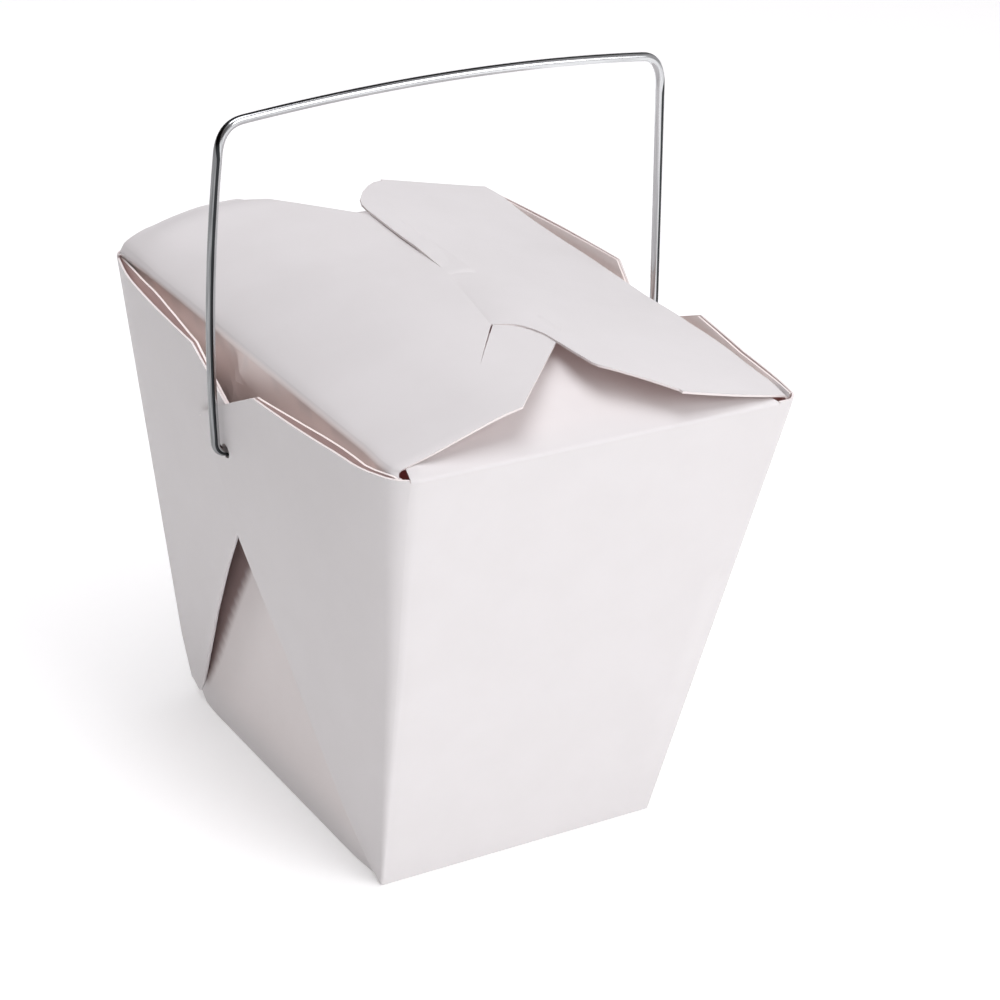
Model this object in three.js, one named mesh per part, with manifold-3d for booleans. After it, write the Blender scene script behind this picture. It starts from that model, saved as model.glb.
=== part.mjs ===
// A shut paperboard takeaway pail with a bent steel wire handle.
//
// Millimetres, +Z up. The origin is the middle of the base, which stands on z = 0. The two plain
// panels face -Y (front) and +Y (back). The two gusset sides face -X (left) and +X (right).
// On each gusset side the corners of the blank are folded flat over the wall as two-ply webs: the
// front web laps over the back web, a V stays open above them and an inverted V below them, and
// the end of the wire goes through both. On top a flap from each gusset side lies over the short
// dust flaps of the plain panels, and the tongue of the right flap goes into a slit of the left one.

import * as THREE from 'three';
import { mergeVertices } from 'three/addons/utils/BufferGeometryUtils.js';
import Module from 'manifold-3d';

const wasm = await Module();
wasm.setup();

// Tapered body, to the outside of the board
const BASE_X = 64.8;
const BASE_Y = 85.4;
const RIM_X = 87.0;
const RIM_Y = 119.4;
const RIM_Z = 100.3;
const SPLAY = { front: 1.4, back: 4.9 }; // how far the right corners of the rim lean out
const CORNER_RADIUS = 1.5; // of the upright corners at the rim; they sharpen towards the base
const CORNER_RADIUS_SOFT = 4.6; // of the front left one
const CORNER_RADIUS_BASE = 0.6;
const CORNER_ACROSS = 0.15; // least width of a corner's curve on the walls behind the webs
const BASE_ROUND = 0.5; // worn edge round the base
const WALL_INSET_BASE = 0.3; // side walls behind the outer faces
const WALL_INSET_RIM = 1.3;
const WALL_ROWS = 5;

// Webs over the gusset sides
const WEB_THICK = 1.0; // two plies of board
const WEB_BULGE = { left: 6.2, right: 3.9 }; // how far the webs stand proud half way along
const BULGE_ROUND = { left: 0.6, right: 0.8 }; // exponent of the bulge: smaller is squarer
const BULGE_FULL_Z = 85; // height at which they stand furthest out
const BULGE_RISE = 1.5; // exponent of the way they come out from the base up
const WEB_PROUD = 0.05; // at the upright corners, over the plain panels
const WEB_TUCK = 0.15; // how deep their ends reach into the plain panels
const WEB_ROOT = 0.8; // how deep the webs are joined into the walls
const CORNER_ROOT = 0.1; // share of the corner radius that the joined face keeps
const WEB_ROWS = 9;
const WEB_SHARES = [0.97, 0.9, 0.78, 0.62, 0.44]; // columns between the corner and the peak
const FOLD_CROSS_Z = 62.4; // where the folded edges of the two webs cross
const FOLD_FOOT_Y = { front: 42.7, back: 39.4 }; // where the same edges meet the base
const NOTCH_Z = { left: 91.3, right: 93.0 }; // bottom of the V between the webs
const PEAK = { // ends of the V's arms, from the middle plane
  left: { front: { y: 14.0, z: 98.9 }, back: { y: 14.0, z: 98.9 } },
  right: { front: { y: 20.9, z: 101.6 }, back: { y: 9.5, z: 102.3 } },
};
const CORNER_TOP_Z = { left: 100.1, right: 100.8 }; // top edge of the webs near the upright corners
const LAP_END = 10.7; // how far a web reaches past the middle
const LAP_FOLD = [[1.5, 65.0], [7.2, 81.1], [9.6, 82.0], [LAP_END, 83.4]]; // folded edge there
const LAP_TOP = [[10.0, 85.6], [LAP_END, 84.4]]; // cut edge from the notch to the end
const CREVICE_FLOOR_Z = 48;
const CREVICE_TOP_Z = 104;
const CREVICE_REACH = 0.8; // share of the half width of a side
const CREVICE_ROOT = 0.4; // how deep the cut reaches behind the wall's face
const CREVICE_MIN = 0.2; // least thickness of the cut, where it lies inside the wall
const CREVICE_COLUMNS = 14;
const CREVICE_ROWS = 6;
const LAP_TAPER_Y = [-16, -12]; // where the webs go from one thickness to two

// Top flaps
const FLAP_THICK = 1.0;
const FLAP_PROUD = 0.1; // over the wall, along the fold
const FLAP_OVERLAP = 0.1; // of the right flap into the left one under it
const ROLL_RADIUS = 0.9; // of every fold round the rim
const EAVES_Z = RIM_Z - ROLL_RADIUS; // where those folds start
const ROLL_STEPS = [0, 0.08, 0.3, 0.65, 1]; // shares of a fold's run that its facets start at
const FLAP_END_Y = 57.2; // half the length of a flap along its fold
const RIDGE_Z = 110.5; // highest line, where the flaps lap
const ROOF_Z = 114; // clear above the flaps
const BELOW_Z = -1; // clear below the base
const SHOULDER_Y = 57.2;
const LEFT_SHOULDER = { x: -15.5, z: 109.3 };
const LEFT_DOME = { middle: 1.3, towardsBack: 1.1 };
const LEFT_DOME_SKEW = 0.8; // below 1 the dome is highest nearer the fold
const LEFT_RISE = 16; // run from the shoulder to the ridge
const LEFT_TIP = { x: 9, y: 31 }; // hidden under the right flap
const RIGHT_DOME = 0.6;
const RIGHT_SHOULDER_X = 19.0;
const RIGHT_LAP_X = 4.0; // free edge of the right flap on the left one
const RIGHT_CORNER = { x: 6.8, y: 47.5 };
const RIGHT_CORNER_RUN = { bend: 3.5, end: 8 }; // of the rounded corner, along the free edge
const TONGUE_BACK = { x: 3.4, y: 2.7 }; // the tongue goes into the slit between these two points
const TONGUE_FRONT = { x: -2.6, y: -24.8 };
const TONGUE_CURVE = [[3, -26.3], [4.8, -35.8]]; // from the front point to the free edge
const TONGUE_DIP = 1.7;
const TONGUE_RUN = 7.0;
const TONGUE_LEAD = 6.0; // the dip starts this far in front of the tongue
const SLIT_END = { x: -13.6, y: -37.6 };
const SLIT_WIDTH = 0.9;
const DUST_SLOPE = 0.26; // rise of the dust flaps away from their folds
const FLAP_COLUMNS = 12;
const FLAP_ROWS = 14;

// Small open triangle at each corner of the rim, measured in from the two outer faces
const RIM_POCKET = [[1.3, 2.6], [3.5, 5.0], [3.0, 2.0]];
const RIM_POCKET_FLOOR_Z = 94.5;

// Wire handle
const WIRE_RADIUS = 0.95;
const WIRE_SIDES = 8;
const WIRE_STEPS = 150;
const PIVOT_Z = 81.0;
const HOLE_RADIUS = 1.4;
const HOLE_FLOOR_X = 39.5;
const HOLE_OUT_X = 65;
const HOLE_SIDES = 20;
const HOOK_END_X = 40.8;
const HOOK_BEND = 3.2;
const LEFT_LEG = { foot: -49.7, bow: -52.6, shoulder: -50.4 };
const RIGHT_LEG = { foot: 53.9, bow: 52.0, shoulder: 49.7 };
const LEG_TOP_Z = 144.0;
const TOP_BEND = 5.0;
const TOP_BEND_PULL = { left: [0.6, 0.5], right: [0.5, 0.4] }; // of the rounded upper corners
const BAR_LEFT_Z = 149.6;
const BAR_RIGHT_Z = 150.7;
const BAR_ARCH = { x: 2, z: 154.6 };

const mix = THREE.MathUtils.lerp;
const clamp = THREE.MathUtils.clamp;

// -1 on the left and 1 on the right
function signOf(side) {
  return side === 'left' ? -1 : 1;
}

function steps(from, to, count) {
  return Array.from({ length: count + 1 }, (_, i) => mix(from, to, i / count));
}

// Value at x along a line through points (x, value), level past its ends
function alongLine(points, x) {
  if (x <= points[0][0]) return points[0][1];
  for (let i = 0; i + 1 < points.length; i++) {
    const [[x0, v0], [x1, v1]] = [points[i], points[i + 1]];
    if (x <= x1) return mix(v0, v1, (x - x0) / (x1 - x0));
  }
  return points[points.length - 1][1];
}

// The name of the panel on one side of the middle
function endOf(y) {
  return y < 0 ? 'front' : 'back';
}

// Half the depth of the body at a height
function halfDepth(z) {
  return mix(BASE_Y / 2, RIM_Y / 2, z / RIM_Z);
}

// Radius of the upright corner on the same side of the middle as y
function cornerRadius(side, y, z) {
  const soft = side === 'left' && endOf(y) === 'front';
  return mix(CORNER_RADIUS_BASE, soft ? CORNER_RADIUS_SOFT : CORNER_RADIUS, z / RIM_Z);
}

// How far from the middle a side reaches before its rounded upright corner
function halfSide(side, y, z) {
  return halfDepth(z) - cornerRadius(side, y, z);
}

// Outer face of a side before its webs bulge, as a distance from the middle plane
function sideFace(side, y, z) {
  const share = (y / halfDepth(z) + 1) / 2;
  const lean = side === 'right' ? mix(SPLAY.front, SPLAY.back, share) : 0;
  return mix(BASE_X / 2, RIM_X / 2 + lean, z / RIM_Z);
}

function wallInset(z) {
  return mix(WALL_INSET_BASE, WALL_INSET_RIM, z / RIM_Z);
}

// Wall behind the webs
function wallFace(side, y, z) {
  return sideFace(side, y, z) - wallInset(z);
}

// Line along which the flap of a side is folded over
function foldX(side, y) {
  return wallFace(side, y, EAVES_Z) + FLAP_PROUD;
}

// 1 half way along a side and 0 at its upright corners
function bulgeShape(side, y, z) {
  const s = clamp(Math.abs(y) / halfSide(side, y, z), 0, 1);
  return (1 - s * s) ** BULGE_ROUND[side];
}

// Outer face of the front web
function webFace(side, y, z) {
  const rise = 1 - (1 - clamp(z / BULGE_FULL_Z, 0, 1)) ** BULGE_RISE;
  return sideFace(side, y, z) + WEB_BULGE[side] * rise * bulgeShape(side, y, z);
}

// Outer face of the back web, one web lower where the front web laps over it
function backWebFace(side, y, z) {
  return webFace(side, y, z) - WEB_THICK * bulgeShape(side, y, z);
}

// Height gained over the first stretch d of a rounded fold
function foldRoll(d) {
  const t = 1 - clamp(d / ROLL_RADIUS, 0, 1);
  return ROLL_RADIUS * Math.sqrt(1 - t * t);
}

// Top face of the left flap
function leftFlapTop(x, y) {
  const fold = -foldX('left', y);
  const d = x - fold;
  const t = clamp(d / (LEFT_SHOULDER.x - fold), 0, 1);
  const dome = LEFT_DOME.middle + LEFT_DOME.towardsBack * y / SHOULDER_Y;
  const start = EAVES_Z + foldRoll(d);
  const slope = (LEFT_SHOULDER.z - RIM_Z) * t;
  const lapped = RIDGE_Z - FLAP_THICK + FLAP_OVERLAP - LEFT_SHOULDER.z;
  const plateau = lapped * clamp((x - LEFT_SHOULDER.x) / LEFT_RISE, 0, 1);
  return start + slope + dome * Math.sin(Math.PI * t ** LEFT_DOME_SKEW) + plateau;
}

// Top face of the right flap, which sinks into the slit at its tongue
function rightFlapTop(x, y) {
  const fold = foldX('right', y);
  const d = fold - x;
  const t = clamp(d / (fold - RIGHT_LAP_X), 0, 1);
  const start = EAVES_Z + foldRoll(d);
  const along = clamp((TONGUE_BACK.y - y) / (TONGUE_BACK.y - TONGUE_FRONT.y), 0, 1);
  const line = mix(TONGUE_BACK.x, TONGUE_FRONT.x, along);
  const past = Math.max(TONGUE_FRONT.y - TONGUE_LEAD - y, y - TONGUE_BACK.y, 0) / TONGUE_RUN;
  const near = clamp(1 - (x - line) / TONGUE_RUN, 0, 1) ** 2 * clamp(1 - past, 0, 1);
  return start + (RIDGE_Z - RIM_Z) * t + RIGHT_DOME * Math.sin(Math.PI * t) - TONGUE_DIP * near;
}

// Top of what lies under the flaps: the dust flaps, and solid below the flaps further in
function underFlaps(x, y) {
  const d = halfDepth(EAVES_Z) - Math.abs(y);
  const dust = EAVES_Z + foldRoll(d) + DUST_SLOPE * Math.max(d - ROLL_RADIUS, 0);
  const flap = x < RIGHT_LAP_X ? leftFlapTop(x, y) : rightFlapTop(x, y);
  return Math.min(dust, flap - FLAP_THICK / 2);
}

// Turns a closed geometry into a solid, facing outwards
function solidFrom(geometry) {
  const bare = geometry.clone();
  bare.deleteAttribute('normal');
  bare.deleteAttribute('uv');
  const merged = mergeVertices(bare, 1e-4);
  const vertProperties = new Float32Array(merged.attributes.position.array);
  const triVerts = new Uint32Array(merged.index.array);
  if (signedVolume(vertProperties, triVerts) < 0) {
    for (let i = 0; i < triVerts.length; i += 3) {
      [triVerts[i], triVerts[i + 1]] = [triVerts[i + 1], triVerts[i]];
    }
  }
  return new wasm.Manifold(new wasm.Mesh({ numProp: 3, vertProperties, triVerts }));
}

function signedVolume(points, triangles) {
  const [a, b, c] = [new THREE.Vector3(), new THREE.Vector3(), new THREE.Vector3()];
  let volume = 0;
  for (let i = 0; i < triangles.length; i += 3) {
    a.fromArray(points, 3 * triangles[i]);
    b.fromArray(points, 3 * triangles[i + 1]);
    c.fromArray(points, 3 * triangles[i + 2]);
    volume += a.dot(b.cross(c)) / 6;
  }
  return volume;
}

function indexedSolid(positions, index) {
  const geometry = new THREE.BufferGeometry();
  geometry.setAttribute('position', new THREE.Float32BufferAttribute(positions, 3));
  geometry.setIndex(index);
  return solidFrom(geometry);
}

// Solid between two faces over a grid; low and high give the point of each face at (u, v)
function gridSolid(us, vs, low, high) {
  const positions = [];
  const index = [];
  const columns = vs.length;
  for (const face of [low, high]) {
    for (const u of us) {
      for (const v of vs) positions.push(...face(u, v));
    }
  }
  const at = (k, i, j) => (k * us.length + i) * columns + j;
  const quad = (a, b, c, d) => index.push(a, b, c, a, c, d);
  const last = us.length - 1;
  const end = columns - 1;
  for (let i = 0; i < last; i++) {
    for (let j = 0; j < end; j++) {
      quad(at(0, i, j), at(0, i, j + 1), at(0, i + 1, j + 1), at(0, i + 1, j));
      quad(at(1, i, j), at(1, i + 1, j), at(1, i + 1, j + 1), at(1, i, j + 1));
    }
    quad(at(0, i, 0), at(0, i + 1, 0), at(1, i + 1, 0), at(1, i, 0));
    quad(at(0, i + 1, end), at(0, i, end), at(1, i, end), at(1, i + 1, end));
  }
  for (let j = 0; j < end; j++) {
    quad(at(0, 0, j + 1), at(0, 0, j), at(1, 0, j), at(1, 0, j + 1));
    quad(at(0, last, j), at(0, last, j + 1), at(1, last, j + 1), at(1, last, j));
  }
  return indexedSolid(positions, index);
}

// Prism of an outline in (x, y), upright between two heights
function uprightPrism(outline, low, high) {
  const shape = new THREE.Shape(outline.map(([x, y]) => new THREE.Vector2(x, y)));
  const geometry = new THREE.ExtrudeGeometry(shape, { depth: high - low, bevelEnabled: false });
  return solidFrom(geometry.translate(0, 0, low));
}

// Loft through outlines of equal length, one at each height
function loft(heights, outlines) {
  const count = outlines[0].length;
  const positions = [];
  outlines.forEach((points, k) => points.forEach(([x, y]) => positions.push(x, y, heights[k])));
  const last = outlines.length - 1;
  const base = positions.length / 3;
  positions.push(0, 0, heights[0], 0, 0, heights[last]);
  const index = [];
  for (let i = 0; i < count; i++) {
    const next = (i + 1) % count;
    for (let k = 0; k < last; k++) {
      const [a, b] = [k * count + i, k * count + next];
      index.push(a, b, b + count, a, b + count, a + count);
    }
    index.push(base, next, i, base + 1, last * count + i, last * count + next);
  }
  return indexedSolid(positions, index);
}

// Outline of the walls at a height, anticlockwise from above
function wallSection(z, inset) {
  const y0 = halfDepth(z) - inset;
  const points = [];
  for (const [side, end] of [['right', -1], ['right', 1], ['left', 1], ['left', -1]]) {
    const sign = signOf(side);
    const radius = cornerRadius(side, end, z);
    const across = Math.max(radius - wallInset(z), CORNER_ACROSS);
    const cx = wallFace(side, end * y0, z) - inset - across;
    const arc = steps(0, Math.PI / 2, 4).map((angle) => [
      sign * (cx + across * Math.sin(angle)), end * (y0 - radius + radius * Math.cos(angle))]);
    points.push(...(sign * end < 0 ? arc : arc.reverse()));
  }
  return points;
}

// Walls, base and dust flaps, solid inside
function core() {
  const heights = [0, ...steps(BASE_ROUND, EAVES_Z - FLAP_PROUD, WALL_ROWS), ROOF_Z];
  const outlines = heights.map((z) => wallSection(Math.min(z, EAVES_Z), z === 0 ? BASE_ROUND : 0));
  const y = RIM_Y / 2 + 1;
  const width = foldX('left', 0) + foldX('right', 0);
  const across = (t, v) => mix(-foldX('left', v), foldX('right', v), t / width);
  const roof = gridSolid(
    foldSteps(0, width, FLAP_COLUMNS, [-1, width + 1]),
    foldSteps(-halfDepth(EAVES_Z), halfDepth(EAVES_Z), FLAP_ROWS, [-y, y]),
    (t, v) => [across(t, v), v, BELOW_Z],
    (t, v) => [across(t, v), v, underFlaps(across(t, v), v)]);
  return loft(heights, outlines).intersect(roof);
}

// Values from one end to the other, close together near both ends where the folds are
function foldSteps(from, to, count, outside = []) {
  const roll = ROLL_STEPS.map((t) => t * ROLL_RADIUS);
  const inner = steps(from + ROLL_RADIUS, to - ROLL_RADIUS, count).slice(1, -1);
  const values = [...roll.map((d) => from + d), ...inner, ...roll.map((d) => to - d).reverse()];
  return [...outside.slice(0, 1), ...values, ...outside.slice(1)];
}

// Point of a web's outer face. u runs along the side, from 0 in its middle to 1 at the upright
// corner; up to 2 it goes round the corner, and past that it ends inside the plain panel.
function webPoint(side, face, u, z) {
  const sign = signOf(side);
  const end = Math.sign(u);
  const turn = Math.abs(u) - 1;
  if (turn < 0) {
    const y = u * halfSide(side, end, z);
    return [sign * face(side, y, z), y, z];
  }
  const r = cornerRadius(side, end, z);
  const cx = sideFace(side, end * halfDepth(z), z) - r;
  const cy = halfSide(side, end, z) + WEB_PROUD;
  if (turn > 1) return [sign * (cx - r * (turn - 1)), end * (cy + r - WEB_PROUD - WEB_TUCK), z];
  const angle = turn * Math.PI / 2;
  return [sign * (cx + r * Math.cos(angle)), end * (cy + r * Math.sin(angle)), z];
}

// Point inside the wall behind webPoint
function webRoot(side, u, z) {
  const sign = signOf(side);
  const end = Math.sign(u);
  const turn = Math.abs(u) - 1;
  if (turn < 0) {
    const y = u * halfSide(side, end, z);
    return [sign * (wallFace(side, y, z) - WEB_ROOT), y, z];
  }
  const r = cornerRadius(side, end, z);
  const angle = Math.min(turn, 1) * Math.PI / 2;
  const cx = sideFace(side, end * halfDepth(z), z) - r;
  const inner = CORNER_ROOT * r;
  const cy = halfSide(side, end, z);
  return [sign * (cx + inner * Math.cos(angle)), end * (cy + inner * Math.sin(angle)), z];
}

// Folded lower edge of a web that starts from the corner at u = -1; end is -1 or 1
function webFoot(side, end, u) {
  if (u >= 0) return alongLine([[0, FOLD_CROSS_Z], ...LAP_FOLD], u * halfSide(side, end, PIVOT_Z));
  const slope = FOLD_CROSS_Z / FOLD_FOOT_Y[endOf(end)];
  const low = halfSide(side, end, 0);
  const taper = (halfSide(side, end, RIM_Z) - low) / RIM_Z;
  const z = (FOLD_CROSS_Z + slope * u * low) / (1 - slope * u * taper);
  return Math.max(z, BASE_ROUND);
}

// Cut upper edge of the same web
function webHead(side, end, u) {
  const peak = PEAK[side][endOf(end)];
  const reach = halfSide(side, end, peak.z);
  if (u >= 0) return alongLine([[0, NOTCH_Z[side]], ...LAP_TOP], u * reach);
  if (u < -1) return mix(CORNER_TOP_Z[side], EAVES_Z, clamp(-u - 1, 0, 1));
  const edge = [[-reach, CORNER_TOP_Z[side]], [-peak.y, peak.z], [0, NOTCH_Z[side]]];
  return alongLine(edge, u * reach);
}

// One web; end is -1 for the front web and 1 for the back web
function web(side, end) {
  const face = end < 0 ? webFace : backWebFace;
  const { y, z } = PEAK[side][endOf(end)];
  const peak = y / halfSide(side, end, z);
  const reach = halfSide(side, end, PIVOT_Z);
  const lap = [...LAP_FOLD.map(([at]) => at), LAP_TOP[0][0]].sort((a, b) => a - b);
  const near = WEB_SHARES.map((share) => -share).filter((u) => u < -peak);
  const us = [-2.2, ...steps(-2, -1, 4), ...near, -peak, -peak / 2, 0, ...lap.map((at) => at / reach)];
  const height = (u, v) => mix(webFoot(side, end, u), webHead(side, end, u), v);
  return gridSolid(
    us, steps(0, 1, WEB_ROWS),
    (u, v) => webRoot(side, -end * u, height(u, v)),
    (u, v) => webPoint(side, face, -end * u, height(u, v)));
}

// Open space between the wall and the webs
function crevice(side) {
  const sign = signOf(side);
  const low = (y, z) => wallFace(side, y, z) - CREVICE_ROOT;
  const high = (y, z) => {
    const [from, to] = LAP_TAPER_Y;
    const webs = 1 + clamp((y - from) / (to - from), 0, 1);
    return Math.max(webFace(side, y, z) - webs * WEB_THICK, low(y, z) + CREVICE_MIN);
  };
  return gridSolid(
    steps(-CREVICE_REACH, CREVICE_REACH, CREVICE_COLUMNS),
    steps(CREVICE_FLOOR_Z, CREVICE_TOP_Z, CREVICE_ROWS),
    (u, z) => [sign * low(u * halfDepth(z), z), u * halfDepth(z), z],
    (u, z) => [sign * high(u * halfDepth(z), z), u * halfDepth(z), z]);
}

// Pocket for the end of the wire
function wireHole(side) {
  const length = HOLE_OUT_X - HOLE_FLOOR_X;
  const hole = new THREE.CylinderGeometry(HOLE_RADIUS, HOLE_RADIUS, length, HOLE_SIDES);
  hole.rotateZ(Math.PI / 2);
  hole.translate(signOf(side) * (HOLE_FLOOR_X + length / 2), 0, PIVOT_Z);
  return solidFrom(hole);
}

function leftFlap() {
  const fold = -foldX('left', 0);
  const outline = [
    [fold, -FLAP_END_Y], [LEFT_SHOULDER.x, -SHOULDER_Y], [LEFT_TIP.x, -LEFT_TIP.y],
    [LEFT_TIP.x, LEFT_TIP.y], [LEFT_SHOULDER.x, SHOULDER_Y], [fold, FLAP_END_Y]];
  const slab = gridSolid(
    foldSteps(fold, LEFT_TIP.x + 2 * ROLL_RADIUS, FLAP_COLUMNS),
    steps(-RIM_Y / 2, RIM_Y / 2, FLAP_ROWS),
    (x, y) => [x, y, leftFlapTop(x, y) - FLAP_THICK],
    (x, y) => [x, y, leftFlapTop(x, y)]);
  return slab.intersect(uprightPrism(outline, RIM_POCKET_FLOOR_Z, ROOF_Z)).subtract(slit());
}

// Part of the slit that the tongue leaves open
function slit() {
  const along = new THREE.Vector2(SLIT_END.x - TONGUE_FRONT.x, SLIT_END.y - TONGUE_FRONT.y);
  const across = new THREE.Vector2(-along.y, along.x).setLength(SLIT_WIDTH / 2);
  const outline = [
    [TONGUE_FRONT.x + across.x, TONGUE_FRONT.y + across.y],
    [TONGUE_FRONT.x - across.x, TONGUE_FRONT.y - across.y], [SLIT_END.x, SLIT_END.y]];
  return uprightPrism(outline, RIM_POCKET_FLOOR_Z, ROOF_Z);
}

function curvePoints(a, b, c, count) {
  const [start, bend, end] = [a, b, c].map(([x, y]) => new THREE.Vector2(x, y));
  return new THREE.QuadraticBezierCurve(start, bend, end).getPoints(count).map((p) => [p.x, p.y]);
}

function rightFlap() {
  const corner = RIGHT_CORNER;
  const outline = [
    [foldX('right', FLAP_END_Y), FLAP_END_Y], [RIGHT_SHOULDER_X, SHOULDER_Y],
    ...curvePoints(
      [corner.x, corner.y], [RIGHT_LAP_X, corner.y - RIGHT_CORNER_RUN.bend],
      [RIGHT_LAP_X, corner.y - RIGHT_CORNER_RUN.end], 4),
    [TONGUE_BACK.x, TONGUE_BACK.y],
    ...curvePoints([TONGUE_FRONT.x, TONGUE_FRONT.y], ...TONGUE_CURVE, 5),
    [corner.x, -corner.y], [RIGHT_SHOULDER_X, -SHOULDER_Y],
    [foldX('right', -FLAP_END_Y), -FLAP_END_Y]];
  const start = TONGUE_FRONT.x - 1;
  const width = foldX('right', 0) - start;
  const across = (t, y) => mix(start, foldX('right', y), t / width);
  const slab = gridSolid(
    foldSteps(0, width, FLAP_COLUMNS), steps(-RIM_Y / 2, RIM_Y / 2, FLAP_ROWS),
    (t, y) => [across(t, y), y, rightFlapTop(across(t, y), y) - FLAP_THICK],
    (t, y) => [across(t, y), y, rightFlapTop(across(t, y), y)]);
  return slab.intersect(uprightPrism(outline, RIM_POCKET_FLOOR_Z, ROOF_Z));
}

// Small open triangles where the folds of a flap and a dust flap meet at a corner
function rimPockets() {
  const pockets = [];
  for (const end of [-1, 1]) {
    for (const side of ['left', 'right']) {
      const outer = sideFace(side, end * RIM_Y / 2, RIM_Z);
      const outline = RIM_POCKET.map(([x, y]) => [signOf(side) * (outer - x), end * (RIM_Y / 2 - y)]);
      pockets.push(uprightPrism(outline, RIM_POCKET_FLOOR_Z, ROOF_Z));
    }
  }
  return pockets;
}

function buildCarton() {
  let solid = core();
  for (const side of ['left', 'right']) {
    const webs = web(side, -1).add(web(side, 1)).subtract(crevice(side));
    solid = solid.add(webs).subtract(wireHole(side));
  }
  solid = solid.add(leftFlap()).add(rightFlap());
  for (const pocket of rimPockets()) solid = solid.subtract(pocket);
  return solid;
}

// Middle line of the wire, from the end inside the left side to the end inside the right side
function wirePath() {
  const point = (x, z) => new THREE.Vector3(x, 0, z);
  const path = new THREE.CurvePath();
  const line = (a, b) => path.add(new THREE.LineCurve3(a, b));
  const curve = (a, b, c) => path.add(new THREE.QuadraticBezierCurve3(a, b, c));
  const middleZ = (PIVOT_Z + LEG_TOP_Z) / 2;
  const leftHook = point(LEFT_LEG.foot + HOOK_BEND, PIVOT_Z);
  const leftFoot = point(LEFT_LEG.foot, PIVOT_Z + HOOK_BEND);
  const leftTop = point(LEFT_LEG.shoulder, LEG_TOP_Z);
  const rightHook = point(RIGHT_LEG.foot - HOOK_BEND, PIVOT_Z);
  const rightFoot = point(RIGHT_LEG.foot, PIVOT_Z + HOOK_BEND);
  const rightTop = point(RIGHT_LEG.shoulder, LEG_TOP_Z);
  const barLeft = point(LEFT_LEG.shoulder + TOP_BEND, BAR_LEFT_Z);
  const barRight = point(RIGHT_LEG.shoulder - TOP_BEND, BAR_RIGHT_Z);
  const [leftPull, rightPull] = [TOP_BEND_PULL.left, TOP_BEND_PULL.right];
  line(point(-HOOK_END_X, PIVOT_Z), leftHook);
  curve(leftHook, point(LEFT_LEG.foot, PIVOT_Z), leftFoot);
  curve(leftFoot, point(LEFT_LEG.bow, middleZ), leftTop);
  curve(leftTop, point(LEFT_LEG.shoulder + leftPull[0], BAR_LEFT_Z - leftPull[1]), barLeft);
  curve(barLeft, point(BAR_ARCH.x, BAR_ARCH.z), barRight);
  curve(barRight, point(RIGHT_LEG.shoulder - rightPull[0], BAR_RIGHT_Z - rightPull[1]), rightTop);
  curve(rightTop, point(RIGHT_LEG.bow, middleZ), rightFoot);
  curve(rightFoot, point(RIGHT_LEG.foot, PIVOT_Z), rightHook);
  line(rightHook, point(HOOK_END_X, PIVOT_Z));
  return path;
}

function buildWire() {
  const section = new THREE.Shape();
  for (let i = 0; i < WIRE_SIDES; i++) {
    const angle = 2 * Math.PI * i / WIRE_SIDES;
    const [x, y] = [WIRE_RADIUS * Math.cos(angle), WIRE_RADIUS * Math.sin(angle)];
    if (i === 0) section.moveTo(x, y);
    else section.lineTo(x, y);
  }
  return new THREE.ExtrudeGeometry(section, { steps: WIRE_STEPS, extrudePath: wirePath() });
}

function geometryOf(solid) {
  const { vertProperties, triVerts } = solid.getMesh();
  const geometry = new THREE.BufferGeometry();
  geometry.setAttribute('position', new THREE.BufferAttribute(vertProperties, 3));
  geometry.setIndex(new THREE.BufferAttribute(triVerts, 1));
  geometry.computeVertexNormals();
  return geometry;
}

const board = new THREE.MeshStandardMaterial({ color: '#e6e1e2', roughness: 0.55, metalness: 0 });
const steel = new THREE.MeshStandardMaterial({ color: '#a9a9ab', roughness: 0.25, metalness: 1 });

const carton = new THREE.Mesh(geometryOf(buildCarton()), board);
carton.name = 'carton';
const wireHandle = new THREE.Mesh(buildWire(), steel);
wireHandle.name = 'wire_handle';

const pail = new THREE.Group();
pail.add(carton, wireHandle);

export default pail;
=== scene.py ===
"""A shut paperboard takeaway pail with a bent steel wire handle, dressed over its CAD frame.

The board is modelled as what it is: thin sheets that are creased, folded over and tucked in. Sizes
are in millimetres and meshes in metres. +Z is up, the plain panels face -Y (front) and +Y (back),
and the two gusset sides face -X (left) and +X (right).
"""

from __future__ import annotations

import logging
import math
from collections.abc import Callable, Sequence
from dataclasses import dataclass, field
from enum import Enum
from functools import partial

import bmesh
import bpy
from mathutils import Matrix, Vector

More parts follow.
